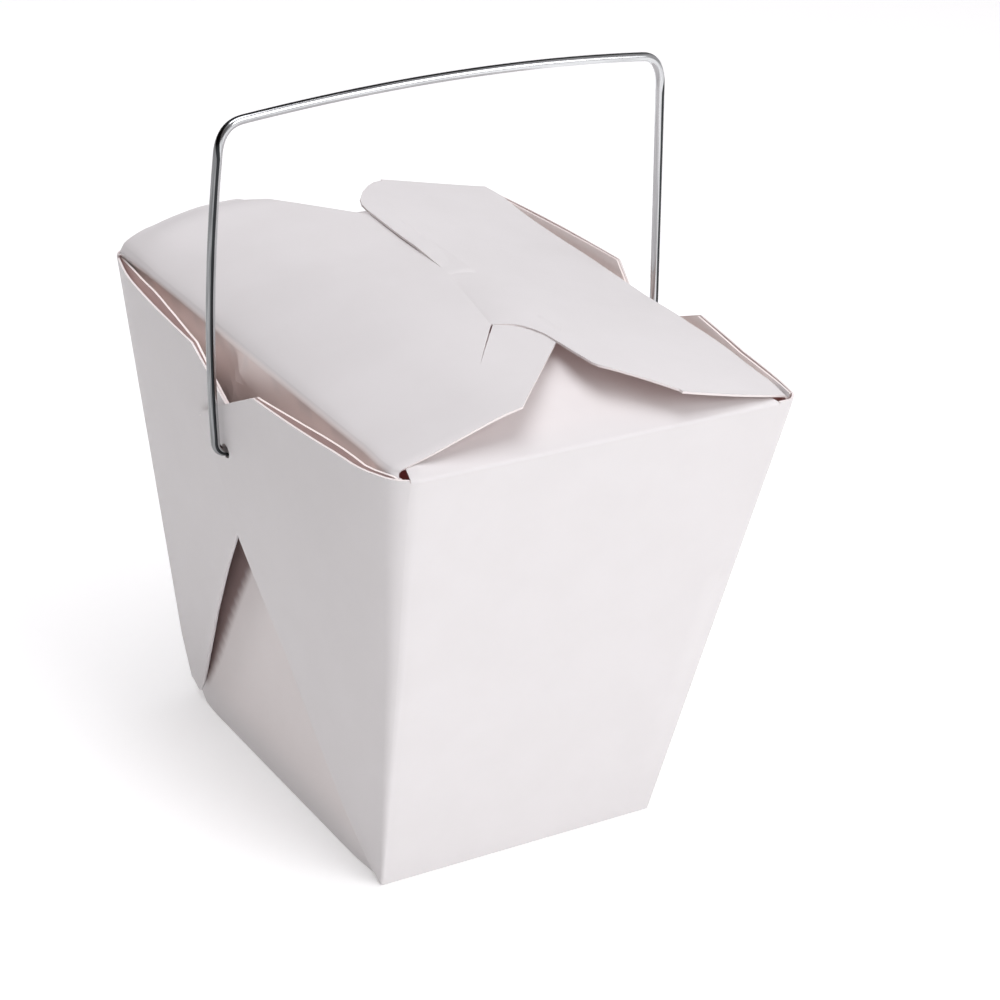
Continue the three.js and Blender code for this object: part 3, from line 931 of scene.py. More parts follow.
@dataclass(frozen=True)
class SteelFinish:
    """Drawn steel wire with a painted reflection in its colour, a dark band along it that is
    broader on the crossbar, and painted shade on one side that leaves the other lighter.

    Its texture lies along the wire: X is the share of a turn round it, Y the length.
    """

    name: str = "drawn_steel"
    colours: tuple[tuple[float, Colour], ...] = (
        (0.05, (0.03, 0.032, 0.034)),
        (0.3, (0.22, 0.225, 0.23)),
        (0.62, (0.60, 0.61, 0.62)),
        (0.9, (0.88, 0.89, 0.90)),
    )
    roughness: float = 0.17
    roughness_range: float = 0.14
    scratch_depth: float = 0.008
    scratch_relief: float = 0.5
    tone: float = 0.6
    scratch_tone: float = 0.5
    band_tone: float = 0.35
    band_wander: float = 0.1
    band_scale: Point = (7.0, 3.0, 1.0)
    scratch_scale: Point = (34.0, 9.0, 1.0)
    # Painted reflection: a dark band along the wire, placed by the angle round it and broader on
    # the crossbar.
    painted_reflection_streak: float = 0.6
    painted_reflection_place: float = 0.78
    painted_reflection_edge: Span = (0.92, 0.985)
    painted_reflection_bar_from: Span = (0.141, 0.149)
    painted_reflection_bar_wider: float = 0.08
    # Painted shade on one side of the wire, which leaves the other side lighter.
    side: float = 0.28
    painted_shade_side_edge: Span = (-0.3, 0.3)

    def build(self) -> bpy.types.Material:
        """Makes the material.

        Returns:
            The material.
        """
        material, graph = new_material(self.name)
        where = graph.node("ShaderNodeUVMap", {"uv_map": "along"}).outputs[0]
        bands = graph.noise(graph.scaled(where, self.band_scale), 1.0, 1.0) - 0.5
        scratches = graph.noise(graph.scaled(where, self.scratch_scale), 1.0, 3.0)
        # Painted reflection and painted shade, placed by the angle round the wire.
        turn = (graph.along(where, "X") - self.painted_reflection_place) * math.tau
        place = graph.node("ShaderNodeTexCoord").outputs["Object"]
        wider = graph.along(place, "Z").over(*self.painted_reflection_bar_from) * self.painted_reflection_bar_wider
        facing = turn.maths("COSINE", turn) + wider + bands * self.band_wander
        painted_reflection_streak = facing.over(*self.painted_reflection_edge)
        side = turn.maths("SINE", turn).over(*self.painted_shade_side_edge)
        varied = (scratches - 0.5) * self.scratch_tone + bands * self.band_tone + self.tone
        tone = varied - side * self.side - painted_reflection_streak * self.painted_reflection_streak
        colour = graph.node("ShaderNodeValToRGB", {"stops": self.colours}, {0: tone}).outputs[0]
        inputs = {
            "Base Color": colour,
            "Metallic": 1.0,
            "Roughness": (scratches - 0.5) * self.roughness_range + self.roughness,
            "Normal": graph.relief(self.scratch_relief, self.scratch_depth, scratches),
        }
        graph.finish("ShaderNodeOutputMaterial", "ShaderNodeBsdfPrincipled", inputs)
        return material


# Carton


@dataclass(frozen=True)
class Cover:
    """Masks of painted light: how much painted warm colour each sheet gets where board lies over
    it, and how much painted glow stands for light coming through.
    """

    form: PailForm
    corner_y: Span = (49.0, 55.0)
    corner_share: float = 0.8
    ply_z: Span = (50.0, 70.0)
    wall_z: Span = (55.0, 70.0)
    foot_z: Span = (0.0, 12.0)
    foot_share: float = 0.4
    fold_x: Span = (39.0, 41.0)
    fold_rise: float = 1.4
    web_light: float = 0.6
    web_light_z: Span = (84.0, 96.0)
    lid_light: float = 0.36
    lid_light_from: Span = (1.0, 8.0)

    def beside(self, point: Point) -> float:
        """Returns 1 along a side and less at its corners."""
        return 1 - self.corner_share * fade(abs(point[1]), self.corner_y)

    def ply(self, point: Point) -> float:
        """Returns how much painted warm colour an inner ply gets from the wall that it faces."""
        return fade(point[2], self.ply_z) * self.beside(point)

    def wall(self, point: Point) -> float:
        """Returns how much painted warm colour a side wall gets behind its webs, less at its foot.
        """
        foot = self.foot_share * fade(point[2], self.foot_z)
        return mix(foot, 1.0, fade(point[2], self.wall_z) * self.beside(point))

    def wall_light(self, point: Point) -> float:
        """Returns how much painted glow a side wall gets for light coming through its webs."""
        return self.web_light * fade(point[2], self.web_light_z)

    def dust_light(self, point: Point) -> float:
        """Returns how much painted glow a dust flap gets for light coming through the lid flaps."""
        inside = self.form.half_depth(self.form.rim_z) - abs(point[1])
        return self.lid_light * fade(inside, self.lid_light_from)

    def fold(self, point: Point) -> float:
        """Returns how much painted warm colour the fold between a wall and its flap gets."""
        beside = fade(abs(point[0]), self.fold_x) * (1 - fade(abs(point[1]), self.corner_y))
        return beside * (1 - ease((point[2] - self.form.eaves) / self.fold_rise))


@dataclass(frozen=True)
class Web:
    """A two-ply web that is folded over a gusset side from one of its corners.

    A place along it is -2 at the plain panel, -1 where the corner ends and 0 in the middle of the
    side, past which comes the lap over the other web. A row of it is 0 at the folded edge and 1 at
    the cut one. Folds and cuts are heights over distances from the middle. Pairs of cuts and of
    spreads, the widths between the plies, are for the front and the back web.
    """

    flank: Flank
    end: End
    board: float
    front_fold: Graph = Graph(
        ((0, 63.4), (15.0, 41.6), (22.5, 26.4), (30.5, 12.2), (38.0, 3.4), (42.7, 0.0))
    )
    back_fold: Graph = Graph(((0, 64.6), (11.0, 48.4), (21.3, 32.3), (30.8, 16.1), (39.6, 0.0)))
    left_cuts: tuple[Graph, Graph] = (
        Graph(((0, 91.3), (14.0, 98.9), (52.0, 99.9), (55.1, 100.1))),
        Graph(((0, 91.3), (14.0, 98.9), (54.0, 99.3))),
    )
    right_cuts: tuple[Graph, Graph] = (
        Graph(((0, 92.6), (12.7, 98.0), (20.9, 101.6), (38.0, 100.8), (58.0, 101.0))),
        Graph(((0, 94.4), (3.4, 97.9), (9.5, 102.3), (30.0, 101.6), (58.0, 100.4))),
    )
    left_spreads: Span = (1.0, 1.2)
    right_spreads: Span = (0.2, 0.2)
    lap_fold: Graph = Graph(((0, 63.4), (1.5, 66.4), (7.2, 81.1), (9.6, 82.0), (10.7, 83.4)))
    lap_top: Graph = Graph(((0, 91.3), (10.0, 85.6), (10.7, 84.4)))
    lap_ease: float = 8.0
    lap_y: tuple[float, ...] = (2.0, 3.2, 4.6, 6.0, 7.2, 8.2, 9.0, 9.6, 10.2, 10.7)
    places: tuple[float, ...] = (
        -1, -0.997, -0.99, -0.978, -0.96, -0.935, -0.9, -0.86, -0.81, -0.75, -0.69, -0.63, -0.57,
        -0.51, -0.45, -0.39, -0.33, -0.28, -0.21, -0.16, -0.12, -0.085, -0.055, -0.03, -0.01,
    )  # fmt: skip
    place_reach: float = 0.008
    edge_reach: float = 0.98
    fold_y: float = 42.0
    corner_places: tuple[float, ...] = (
        -1, -1.1, -1.22, -1.35, -1.5, -1.67, -1.7, -1.8, -1.9, -2,
    )  # fmt: skip
    rim_fold: float = -1.69
    foot_rounds: int = 12
    fold_steps: int = 6
    lap_start: float = 0.02
    pivot_z: float = 81.0
    hole_centre: Span = (-0.35, 81.35)
    hole_radius: float = 1.5
    tight: float = 0.03
    lower: float = 1.05
    spread: Graph = Graph(
        ((0, 0.0), (0.1, 0.15), (0.27, 0.6), (0.45, 1.4), (0.66, 2.0), (0.85, 1.5), (0.95, 0.7),
         (1, 0.15)),
    )  # fmt: skip
    spread_power: float = 0.8
    soft_spread: float = 1.15
    soft_spread_from: Span = (0.6, 0.9)
    least_z: float = 0.02

    @property
    def key(self) -> tuple[Side, End]:
        """The side and the panel that the web belongs to."""
        return (self.flank.side, self.end)

    @property
    def fold_line(self) -> Graph:
        """The line of this web's folded edge."""
        return self.front_fold if self.end is End.FRONT else self.back_fold

    @property
    def cut_edge(self) -> Graph:
        """The line of this web's cut edge."""
        front, back = self.left_cuts if self.flank.side is Side.LEFT else self.right_cuts
        return front if self.end is End.FRONT else back

    @property
    def ply_spread(self) -> float:
        """How far this web's plies stand apart, beside the usual width."""
        front, back = self.left_spreads if self.flank.side is Side.LEFT else self.right_spreads
        return front if self.end is End.FRONT else back

    def half_side(self, z: float) -> float:
        """Returns how far from the middle the side reaches before this web's corner."""
        return self.flank.half_side(self.end.value, z)

    def foot(self, u: float) -> float:
        """Gives the height of the folded edge, whose line is given over distances in mm.

        Args:
            u: Place along the web.

        Returns:
            The height at which the place lies on the line.
        """
        if u >= 0:
            return self.lap_fold.at(u * self.half_side(self.pivot_z))
        z = low = self.flank.form.foot_z
        for _ in range(self.foot_rounds):
            z = max(self.fold_line.at(-u * self.half_side(z)), low)
        return z

    def head(self, u: float) -> float:
        """Gives the height of the cut upper edge.

        Args:
            u: Place along the web.

        Returns:
            The height.
        """
        form, edge = self.flank.form, self.cut_edge
        reach = self.half_side(form.rim_z)
        if u >= 0:
            lap = self.lap_top.at(u * reach)
            return lap + (edge.at(0) - self.lap_top.at(0)) * clamp(1 - u * self.lap_ease)
        if u >= -1:
            return edge.at(-u * reach)
        if self.flank.is_soft(self.end.value) and u < self.rim_fold:
            return form.eaves
        return mix(edge.at(reach), form.cut_z, clamp(-u - 1))

    def height(self, u: float, v: float) -> float:
        """Returns the height of a row at a place."""
        return mix(self.foot(u), self.head(u), v)

    def columns(self) -> list[float]:
        """Gives the places of the grid columns.

        Returns:
            Places from the corner to the end of the lap.
        """
        rim = self.half_side(self.flank.form.rim_z)
        edge, fold = self.cut_edge.points, self.fold_line.points
        keys = [-y / rim for y, _ in edge if 0 < y < self.edge_reach * rim]
        keys += [-y / self.half_side(z) for y, z in fold if 0 < y < self.fold_y]
        lap = [y / self.half_side(self.pivot_z) for y in self.lap_y]
        return [*merged(self.places, keys, self.place_reach), 0.0, self.lap_start, *lap]

    def gap(self, u: float, v: float) -> float:
        """Gives the open space between the two plies.

        Args:
            u: Place along the web.
            v: Row.

        Returns:
            Width of the space.
        """
        if u > 0:
            return self.tight
        width = self.ply_spread * self.spread.at(min(-u, 1.0))
        if self.flank.is_soft(self.end.value):
            width = max(width, self.soft_spread * fade(-u, self.soft_spread_from))
        return self.tight + width * clamp(v) ** self.spread_power

    def flat_point(self, y: float, z: float, depth: float) -> Point:
        """Gives a point behind the outer face, which is lower where the other web laps over.

        Args:
            y: Place along the side.
            z: Height.
            depth: Depth behind the face.

        Returns:
            The point.
        """
        face = self.flank.web_face(y, z)
        if self.end is End.BACK:
            face -= self.lower * self.flank.bulge_shape(y, z)
        return (self.flank.side.value * (face - depth), y, z)

    def point(self, u: float, z: float, depth: float = 0.0) -> Point:
        """Gives a point of the web.

        Args:
            u: Place along the web.
            z: Height.
            depth: Depth behind the outer face.

        Returns:
            The point.
        """
        side, end = self.flank.side.value, self.end.value
        if u >= -1:
            return self.flat_point(-u * end * self.half_side(z), z, depth)
        across, along, radius, tilt = self.flank.arc(end, z)
        angle = mix(tilt, math.pi / 2, -u - 1)
        x = across + (radius - depth) * math.cos(angle)
        return (side * x, end * (along + (radius - depth) * math.sin(angle)), z)

    def inner_depth(self, u: float, v: float) -> float:
        """Returns the depth of the inner ply's outer face."""
        return 2 * self.board + self.gap(u, v)

    def add(self, sheet: BoardSheet, cover: Cover) -> None:
        """Adds the outer ply, the inner ply and the folded edge.

        Args:
            sheet: Sheet that the web is part of.
            cover: Shares of painted light on the board.
        """
        us, out = self.columns(), self.flank.side.value
        front = [[self.point(u, self.height(u, v)) for u in us] for v in ROWS]
        back = [
            [self.point(u, self.height(u, v), self.inner_depth(u, v)) for u in us] for v in ROWS
        ]
        # The inner ply gets a painted warm colour where the wall faces it.
        inside = {"painted_warmth": cover.ply}
        plies = ((front, out, 0.0, None), (back, -out, self.inner_depth(1.0, 1.0), inside))
        for grid, facing, depth, marks in plies:
            place = partial(self.flat_point, depth=depth)
            hole = Hole(self.hole_centre, self.hole_radius, place)
            sheet.patch(grid, (facing, 0.0, 0.0), hole, marks)
        sheet.patch(self.fold(us), (out, -self.end.value * 0.3, -0.2))

    def fold(self, us: Sequence[float]) -> list[list[Point]]:
        """Gives the rounded folded edge between the two plies.

        Args:
            us: Columns of the grid.

        Returns:
            Rows of points from the outer ply to the inner one.
        """
        radius = self.board + self.tight / 2
        edge = [self.point(u, self.foot(u)) for u in us]
        away = []
        for a, b in zip([edge[0], *edge[:-1]], [*edge[1:], edge[-1]]):
            dy, dz = b[1] - a[1], b[2] - a[2]
            length = math.hypot(dy, dz)
            away.append((-self.end.value * abs(dz) / length, -abs(dy) / length))
        rows = []
        for angle in steps(0, math.pi, self.fold_steps):
            back = self.flank.side.value * radius * (1 - math.cos(angle))
            out = radius * math.sin(angle)
            rows.append(
                [
                    (x - back, y + ny * out, max(z + nz * out, self.least_z))
                    for (x, y, z), (ny, nz) in zip(edge, away)
                ]
            )
        return rows


@dataclass(frozen=True)
class Lid:
    """Shape of the two lid flaps in plan and in height; pairs of sizes are x and y, or x and z."""

    left: Flank
    right: Flank
    ridge: float = 110.5
    ridge_soft: float = 0.1
    lap: float = 0.85
    lap_x: float = 4.0
    end_y: float = 57.2
    left_shoulder: Span = (-15.5, 109.3)
    left_soft: float = 6.0
    left_rise: float = 16.0
    left_dome: Span = (1.3, 1.1)
    left_skew: float = 0.8
    left_tip: Span = (9.0, 31.0)
    left_set_in: Span = (0.9, 0.35)
    set_in_x: Span = (-40.5, -33.5)
    set_in_y: Span = (46.0, 56.0)
    back_lift: Graph = Graph(((-44.5, 0.3), (-42.5, 0.8), (-37.0, 1.3), (-25.0, 0.9), (-13.0, 0.0)))
    back_lift_y: Span = (40.0, 56.0)
    back_sag: float = 1.1
    back_sag_x: Span = (-42.0, -34.0)
    back_sag_y: Span = (53.5, 57.5)
    right_dome: float = 0.6
    right_droop: float = 1.1
    right_droop_y: Span = (38.0, 57.0)
    right_rise: float = 0.8
    right_rise_y: Span = (38.0, 56.0)
    tongue_back: Span = (3.4, 2.7)
    tongue_front: Span = (-2.1, -23.1)
    tongue_dip: float = 0.9
    tongue_run: float = 13.0
    tongue_lead: float = 9.0
    tongue_dive: float = 0.35
    tongue_reach: float = 6.0
    slit_end: Span = (-13.6, -37.6)
    slit_width: float = 0.5
    slit_past: Span = (-22.0, -20.0)
    slit_tip: float = 4.0
    slit_back: float = 0.3
    sunk_depth: float = 1.5
    sunk_run: float = 5.0
    right_edge: Graph = Graph(
        ((-57.2, 19.0), (-48.4, 6.4), (-47.0, 5.6), (-41.0, 5.0), (-36.0, 4.8), (-31.7, 4.5),
         (-29.0, 3.65), (-26.6, 2.4), (-25.3, 1.3), (-24.5, 0.3), (-23.7, -1.0), (-23.1, -2.1),
         (2.7, 3.4), (22.4, 3.5), (37.8, 4.3), (40.7, 4.8), (44.3, 6.4), (48.8, 9.5),
         (53.2, 13.4), (55.8, 16.2), (57.6, 19.5))
    )  # fmt: skip

    @property
    def tongue_y(self) -> Span:
        """The tongue's front and back end."""
        return self.tongue_front[1], self.tongue_back[1]

    def left_top(self, x: float, y: float) -> float:
        """Gives the top of the left flap.

        Args:
            x: Place across the pail.
            y: Place along the flap.

        Returns:
            Height.
        """
        form, fold = self.left.form, -self.left.fold_x(y)
        reach = min(self.left_soft, max(x - fold - form.roll, 0.0) / 2)
        slope = [self.left_slope(x + k * reach, y, fold) for k in (-1, -0.5, 0, 0.5, 1)]
        near = (1 - clamp((x - fold) / (self.left_shoulder[0] - fold))) ** 3
        sag = self.back_sag * fade(y, self.back_sag_y) * fade(x, self.back_sag_x)
        sag -= self.back_lift.at(x) * fade(y, self.back_lift_y)
        return form.rim_z + self.left.lift(y) * near + sum(slope) / len(slope) - sag

    def left_slope(self, x: float, y: float, fold: float) -> float:
        """Gives the left flap's rise over the rim before it is softened.

        Args:
            x: Place across the pail.
            y: Place along the flap.
            fold: The fold's x.

        Returns:
            Height over the rim.
        """
        run, top = self.left_shoulder
        t = clamp((x - fold) / (run - fold))
        dome = self.left_dome[0] + self.left_dome[1] * y / self.end_y
        rise = (self.ridge - self.lap - top) * clamp((x - run) / self.left_rise)
        climb = (top - self.left.form.rim_z) * t
        return climb + dome * math.sin(math.pi * t**self.left_skew) + rise

    def right_top(self, x: float, y: float) -> float:
        """Gives the top of the right flap, which sinks into the slit at its tongue.

        Args:
            x: Place across the pail.
            y: Place along the flap.

        Returns:
            Height.
        """
        form, fold, soft = self.right.form, self.right.fold_x(y), self.ridge_soft
        share = (fold - x) / (fold - self.lap_x)
        t = clamp(share)
        if abs(share - 1) < soft:
            t = 1 - (1 + soft - share) ** 2 / (4 * soft)
        front, back = self.tongue_y
        past = max(front - self.tongue_lead - y, y - back, 0.0) / self.tongue_run
        line = mix(self.tongue_back[0], self.tongue_front[0], clamp((back - y) / (back - front)))
        beyond = line - x
        close = clamp(1 + beyond / self.tongue_run) ** 2 + self.tongue_dive * max(beyond, 0.0)
        dip = self.tongue_dip * close * clamp(1 - past)
        near, far = self.right_droop_y
        droop = self.right_droop * clamp((-y - near) / (far - near)) ** 2
        dome = (self.right_dome - droop) * math.sin(math.pi * t)
        lift = self.right.lift(y) + self.right_rise * fade(y, self.right_rise_y)
        return form.rim_z + lift * (1 - t) ** 3 + (self.ridge - form.rim_z) * t + dome - dip

    def left_y(self, x: float, y: float) -> float:
        """Returns where a point of the left flap lies, whose front end is set in at the fold."""
        return y + mix(*self.left_set_in, fade(x, self.set_in_x)) * fade(-y, self.set_in_y)

    def left_edge(self, y: float) -> float:
        """Gives the left flap's free edge.

        Args:
            y: Place along the flap.

        Returns:
            Its x.
        """
        ends = self.left.wall_reach(y, self.left.form.eaves)
        share = clamp((ends - abs(y)) / (ends - self.left_tip[1]))
        return mix(self.left_shoulder[0], self.left_tip[0], share)

    def slit_x(self, y: float) -> float:
        """Gives the line of the slit, carried on past both its ends.

        Args:
            y: Place along the flap.

        Returns:
            Its x.
        """
        marks = (point[::-1] for point in (self.slit_end, self.tongue_front, self.tongue_back))
        before, after = self.slit_past
        return Graph(((-self.end_y, before), *marks, (self.end_y, after))).at(y)

    def slit_open(self, y: float) -> float:
        """Gives the opening of the slit.

        Args:
            y: Place along the flap.

        Returns:
            Its width across the pail.
        """
        (front, back), run = self.tongue_y, self.slit_tip
        line = ((front, self.slit_width), (back - run, self.slit_back), (back, 0.0))
        return Graph(((self.slit_end[1], 0.0), *line)).at(y)

    def sunk(self, y: float) -> float:
        """Returns how deep the tongue presses down the part of the left flap beyond the slit."""
        (front, back), run = self.tongue_y, self.sunk_run
        return self.sunk_depth * ease((y - front) / run) * ease((back - y) / run)


@dataclass
class Carton:
    """The folded board: walls, base, webs, dust flaps and lid flaps."""

    form: PailForm = field(default_factory=PailForm)
    board: float = 0.45
    panel_columns: int = 24
    panel_reach: float = 0.012
    wall_steps: int = 44
    wall_reach: float = 0.7
    wall_ends: tuple[float, ...] = (0.995, 0.98, 0.96)
    tongue_columns: tuple[float, ...] = (-33.8, -30.3, -27.8, -25.9, -24.9, -24.1, -23.4)
    open_corner: float = 2.6
    open_step: float = 0.002
    ply_clear: float = 0.04
    dust_slope: float = 0.26
    dust_reach: float = 34.0
    dust_taper: float = 0.25
    dust_clear: float = 0.8
    edge_strip: float = 7.0
    corner_lift: float = 3.6
    lift_x: Span = (24.0, 32.0)
    lift_y: Span = (36.0, 42.6)
    lift_z: float = 14.0
    foot_round: float = 20.0
    level: float = 0.001
    least_flap: float = 1.0
    turn_steps: int = 4
    dust_steps: tuple[int, int] = (6, 10)
    fold_steps: int = 9
    left_steps: tuple[int, int] = (22, 14)
    right_steps: tuple[int, int, int] = (18, 9, 4)
    base_steps: int = 3

    def __post_init__(self) -> None:
        """Makes the shapes that depend on the body."""
        left = Flank(
            self.form,
            Side.LEFT,
            bulge=6.2,
            squareness=0.6,
            fold_lean=(0.0, 60.0),
            fold_lean_y=(5.0, 55.0),
        )
        right = Flank(
            self.form,
            Side.RIGHT,
            bulge=3.9,
            squareness=0.8,
            fold_lean=(20.0, 45.0),
            fold_lean_y=(-57.0, -32.0),
        )
        self.flanks = (left, right)
        self.lid = Lid(left, right)
        self.cover = Cover(self.form)
        webs = [Web(flank, end, self.board) for flank in self.flanks for end in End]
        self.webs = {web.key: web for web in webs}

    def build(self, materials: Sequence[bpy.types.Material]) -> bpy.types.Object:
        """Builds the whole carton as one folded sheet.

        Args:
            materials: Finishes of the outer face, the cut edges and the inner face.

        Returns:
            The piece.
        """
        sheet = BoardSheet(self.board)
        for flank in self.flanks:
            for end in End:
                self.webs[flank.side, end].add(sheet, self.cover)
                self.add_turn(sheet, self.webs[flank.side, end])
            self.add_wall(sheet, flank)
        for end in End:
            self.add_panel(sheet, end)
        self.add_left_flap(sheet)
        self.add_right_flap(sheet)
        self.add_base(sheet)
        self.lift_corner(sheet)
        return sheet.build("folded_carton", materials)

    def lift_corner(self, sheet: BoardSheet) -> None:
        """Lifts the back left corner of the foot, where the folded board is soft.

        Args:
            sheet: Sheet with all its patches.
        """
        for vert in sheet.mesh.verts:
            x, y, z = vert.co / MM
            share = fade(y, self.lift_y) * fade(-x, self.lift_x) * clamp(1 - z / self.lift_z)
            vert.co.z += self.corner_lift * share * MM

    def row_z(self, v: float) -> float:
        """Returns the height of a row of the walls."""
        return mix(self.form.foot_z, self.form.eaves, v)

    def wall_columns(self, flank: Flank) -> list[float]:
        """Gives the places of a wall's columns.

        Args:
            flank: Gusset side.

        Returns:
            Places along the fold, from the front to the back.
        """
        lid, eaves = self.lid, self.form.eaves
        front, back = -flank.wall_reach(-1, eaves), flank.wall_reach(1, eaves)
        keys = [front, back, lid.slit_end[1], *lid.tongue_y]
        if flank.side is Side.RIGHT:
            keys += [y for y, _ in lid.right_edge.points if front < y < back]
            keys += self.tongue_columns
        else:
            keys += [-lid.left_tip[1], lid.left_tip[1]]
        keys += [end * s for end in (front, back) for s in self.wall_ends]
        return merged(steps(front, back, self.wall_steps), keys, self.wall_reach)

    def wall_row(self, flank: Flank, z: float) -> list[Point]:
        """Returns a row of points over a side wall, from the front to the back."""
        ys = self.wall_columns(flank)
        return [flank.wall_point(y / flank.wall_reach(y, self.form.eaves), z) for y in ys]

    def add_turn(self, sheet: BoardSheet, web: Web) -> None:
        """Adds the stretch in which an inner ply turns back into the side wall at a corner.

        Args:
            sheet: Sheet that it is part of.
            web: Web whose inner ply it is.
        """
        flank, side, end = web.flank, web.flank.side.value, web.end.value
        grid = []
        for v in ROWS:
            row = []
            for t in steps(0, 1, self.turn_steps):
                z = mix(web.height(-1, v), self.row_z(v), t)
                y = end * mix(web.half_side(z), flank.wall_reach(end, z), t)
                depth = web.inner_depth(-1, v)
                if t > 0:
                    depth = min(depth, flank.wall_offset(y, z) - self.ply_clear)
                row.append((side * flank.layer(y, z, depth), y, z))
            near, far = row[-1], flank.wall_point(end, self.row_z(v))
            radius = abs(near[0] - far[0]) / 2
            for angle in steps(0, math.pi, self.turn_steps)[1:-1]:
                x = near[0] - side * radius * (1 - math.cos(angle))
                row.append((x, near[1] + end * radius * math.sin(angle), near[2]))
            grid.append([*row, far])
        # The turn gets the inner ply's painted warm colour.
        sheet.patch(grid, (-side, 0.0, 0.0), marks={"painted_warmth": self.cover.ply})

    def add_wall(self, sheet: BoardSheet, flank: Flank) -> None:
        """Adds a side wall up to its fold.

        Args:
            sheet: Sheet of board that it is part of.
            flank: Gusset side.
        """
        grid = [self.wall_row(flank, self.row_z(v)) for v in ROWS]
        # The wall gets a painted warm colour and a painted glow behind its webs.
        marks = {"painted_warmth": self.cover.wall, "through": self.cover.wall_light}
        sheet.patch(grid, (flank.side.value, 0.0, 0.0), marks=marks)

    def panel_row(self, end: End, v: float) -> list[Point]:
        """Gives a row of points over a plain panel and its two rounded corners.

        Args:
            end: Panel.
            v: Share of the height.

        Returns:
            Points from the left web to the right one.
        """
        form = self.form
        webs = [self.webs[side, end] for side in Side]
        left, right = (
            [web.point(u, web.height(u, v)) for u in web.corner_places] for web in webs
        )
        a, b = left[-1], right[-1]
        shares = [self.open_corner / (b[0] - a[0]) + k for k in (-self.open_step, 0.0)]
        keys = [1 - t for t in shares]
        if end is End.BACK:
            keys += shares
        middle = []
        for t in merged(steps(0, 1, self.panel_columns)[1:-1], keys, self.panel_reach):
            near = self.open_step / 2
            cut = t > max(keys) - near or (end is End.BACK and t < min(keys) + near)
            top = form.cut_z if cut else form.eaves
            middle.append((mix(a[0], b[0], t), a[1], mix(form.foot_z, top, v)))
        return [*left, *middle, *reversed(right)]

    def add_panel(self, sheet: BoardSheet, end: End) -> None:
        """Adds a plain panel with its corners, the fold round the rim and the dust flap.

        Args:
            sheet: Sheet of board that it is part of.
            end: Panel.
        """
        sheet.patch([self.panel_row(end, v) for v in ROWS], (-1.0, 0.1 * end.value, 0.0))
        eaves, radius = self.form.eaves, self.form.roll
        top = [p for p in self.panel_row(end, 1.0) if p[2] < eaves + self.level]
        turn = math.pi / 2 - math.atan(self.dust_slope)
        grid = []
        for angle in steps(0, turn, self.dust_steps[0]):
            inward, up = radius * (1 - math.cos(angle)), radius * math.sin(angle)
            grid.append([self.dust_point(end, p, inward, p[2] + up) for p in top])
        for d in steps(0, self.dust_reach, self.dust_steps[1])[1:]:
            z = eaves + up + self.dust_slope * d
            grid.append([self.dust_point(end, p, inward + d, z) for p in top])
        # The dust flap gets a painted glow under the lid flaps.
        sheet.patch(grid, (0.0, end.value, 0.1), marks={"through": self.cover.dust_light})

    def dust_point(self, end: End, start: Point, inward: float, z: float) -> Point:
        """Gives a point of a dust flap, which narrows away from its fold and stays under the lid.

        Args:
            end: Panel that the flap belongs to.
            start: Point of the panel's upper edge.
            inward: Distance from the panel.
            z: Height where nothing lies over it.

        Returns:
            The point.
        """
        x = start[0] * (1 - self.dust_taper * inward / self.dust_reach)
        y = start[1] - end.value * inward
        if inward < self.form.roll:
            return (x, y, z)
        top = self.lid.left_top if x < self.lid.lap_x else self.lid.right_top
        return (x, y, min(z, top(x, y) - self.dust_clear))

    def flap_start(self, flank: Flank, y: float) -> list[Point]:
        """Gives the rounded fold between a side wall and its flap.

        Args:
            flank: Gusset side.
            y: Place along the fold.

        Returns:
            Points from the wall to the end of the curve.
        """
        form, lid, is_left = self.form, self.lid, flank.side is Side.LEFT
        top = lid.left_top if is_left else lid.right_top
        fold, lean = flank.fold_x(y), flank.lean(y)
        points = []
        for angle in steps(-lean, math.pi / 2, self.fold_steps):
            x = flank.side.value * (fold + form.roll * (math.cos(angle) - math.cos(lean)))
            z = form.eaves + form.roll * (math.sin(angle) + math.sin(lean))
            share = (angle + lean) / (math.pi / 2 + lean)
            slope = top(x, y) - form.rim_z - flank.lift(y)
            place = mix(y, lid.left_y(x, y), clamp(2 * share)) if is_left else y
            points.append((x, place, z + slope * max(share, 0.0) ** 2))
        return points

    def add_left_flap(self, sheet: BoardSheet) -> None:
        """Adds the left lid flap in two parts, which are one sheet where the slit is shut.

        Args:
            sheet: Sheet of board that it is part of.
        """
        lid, flank = self.lid, self.flanks[0]
        left, right = [], []

        def point(x: float, y: float, sunk: float = 0.0) -> Point:
            """Returns a point of the flap."""
            return (x, lid.left_y(x, y), lid.left_top(x, y) - sunk)

        for y in self.wall_columns(flank):
            split, half = lid.slit_x(y), lid.slit_open(y) / 2
            across = steps(-flank.flap_begin(y), split - half, self.left_steps[0])[1:]
            left.append([*self.flap_start(flank, y), *(point(x, y) for x in across)])
            edge = max(lid.left_edge(y), split + half + self.least_flap)
            beyond = steps(split + half, edge, self.left_steps[1])
            right.append([point(x, y, lid.sunk(y)) for x in beyond])
        # The fold of the flap gets a painted warm colour.
        sheet.patch(left, (-1.0, 0.0, 0.2), marks={"painted_warmth": self.cover.fold})
        sheet.patch(right, (0.0, 0.0, 1.0))

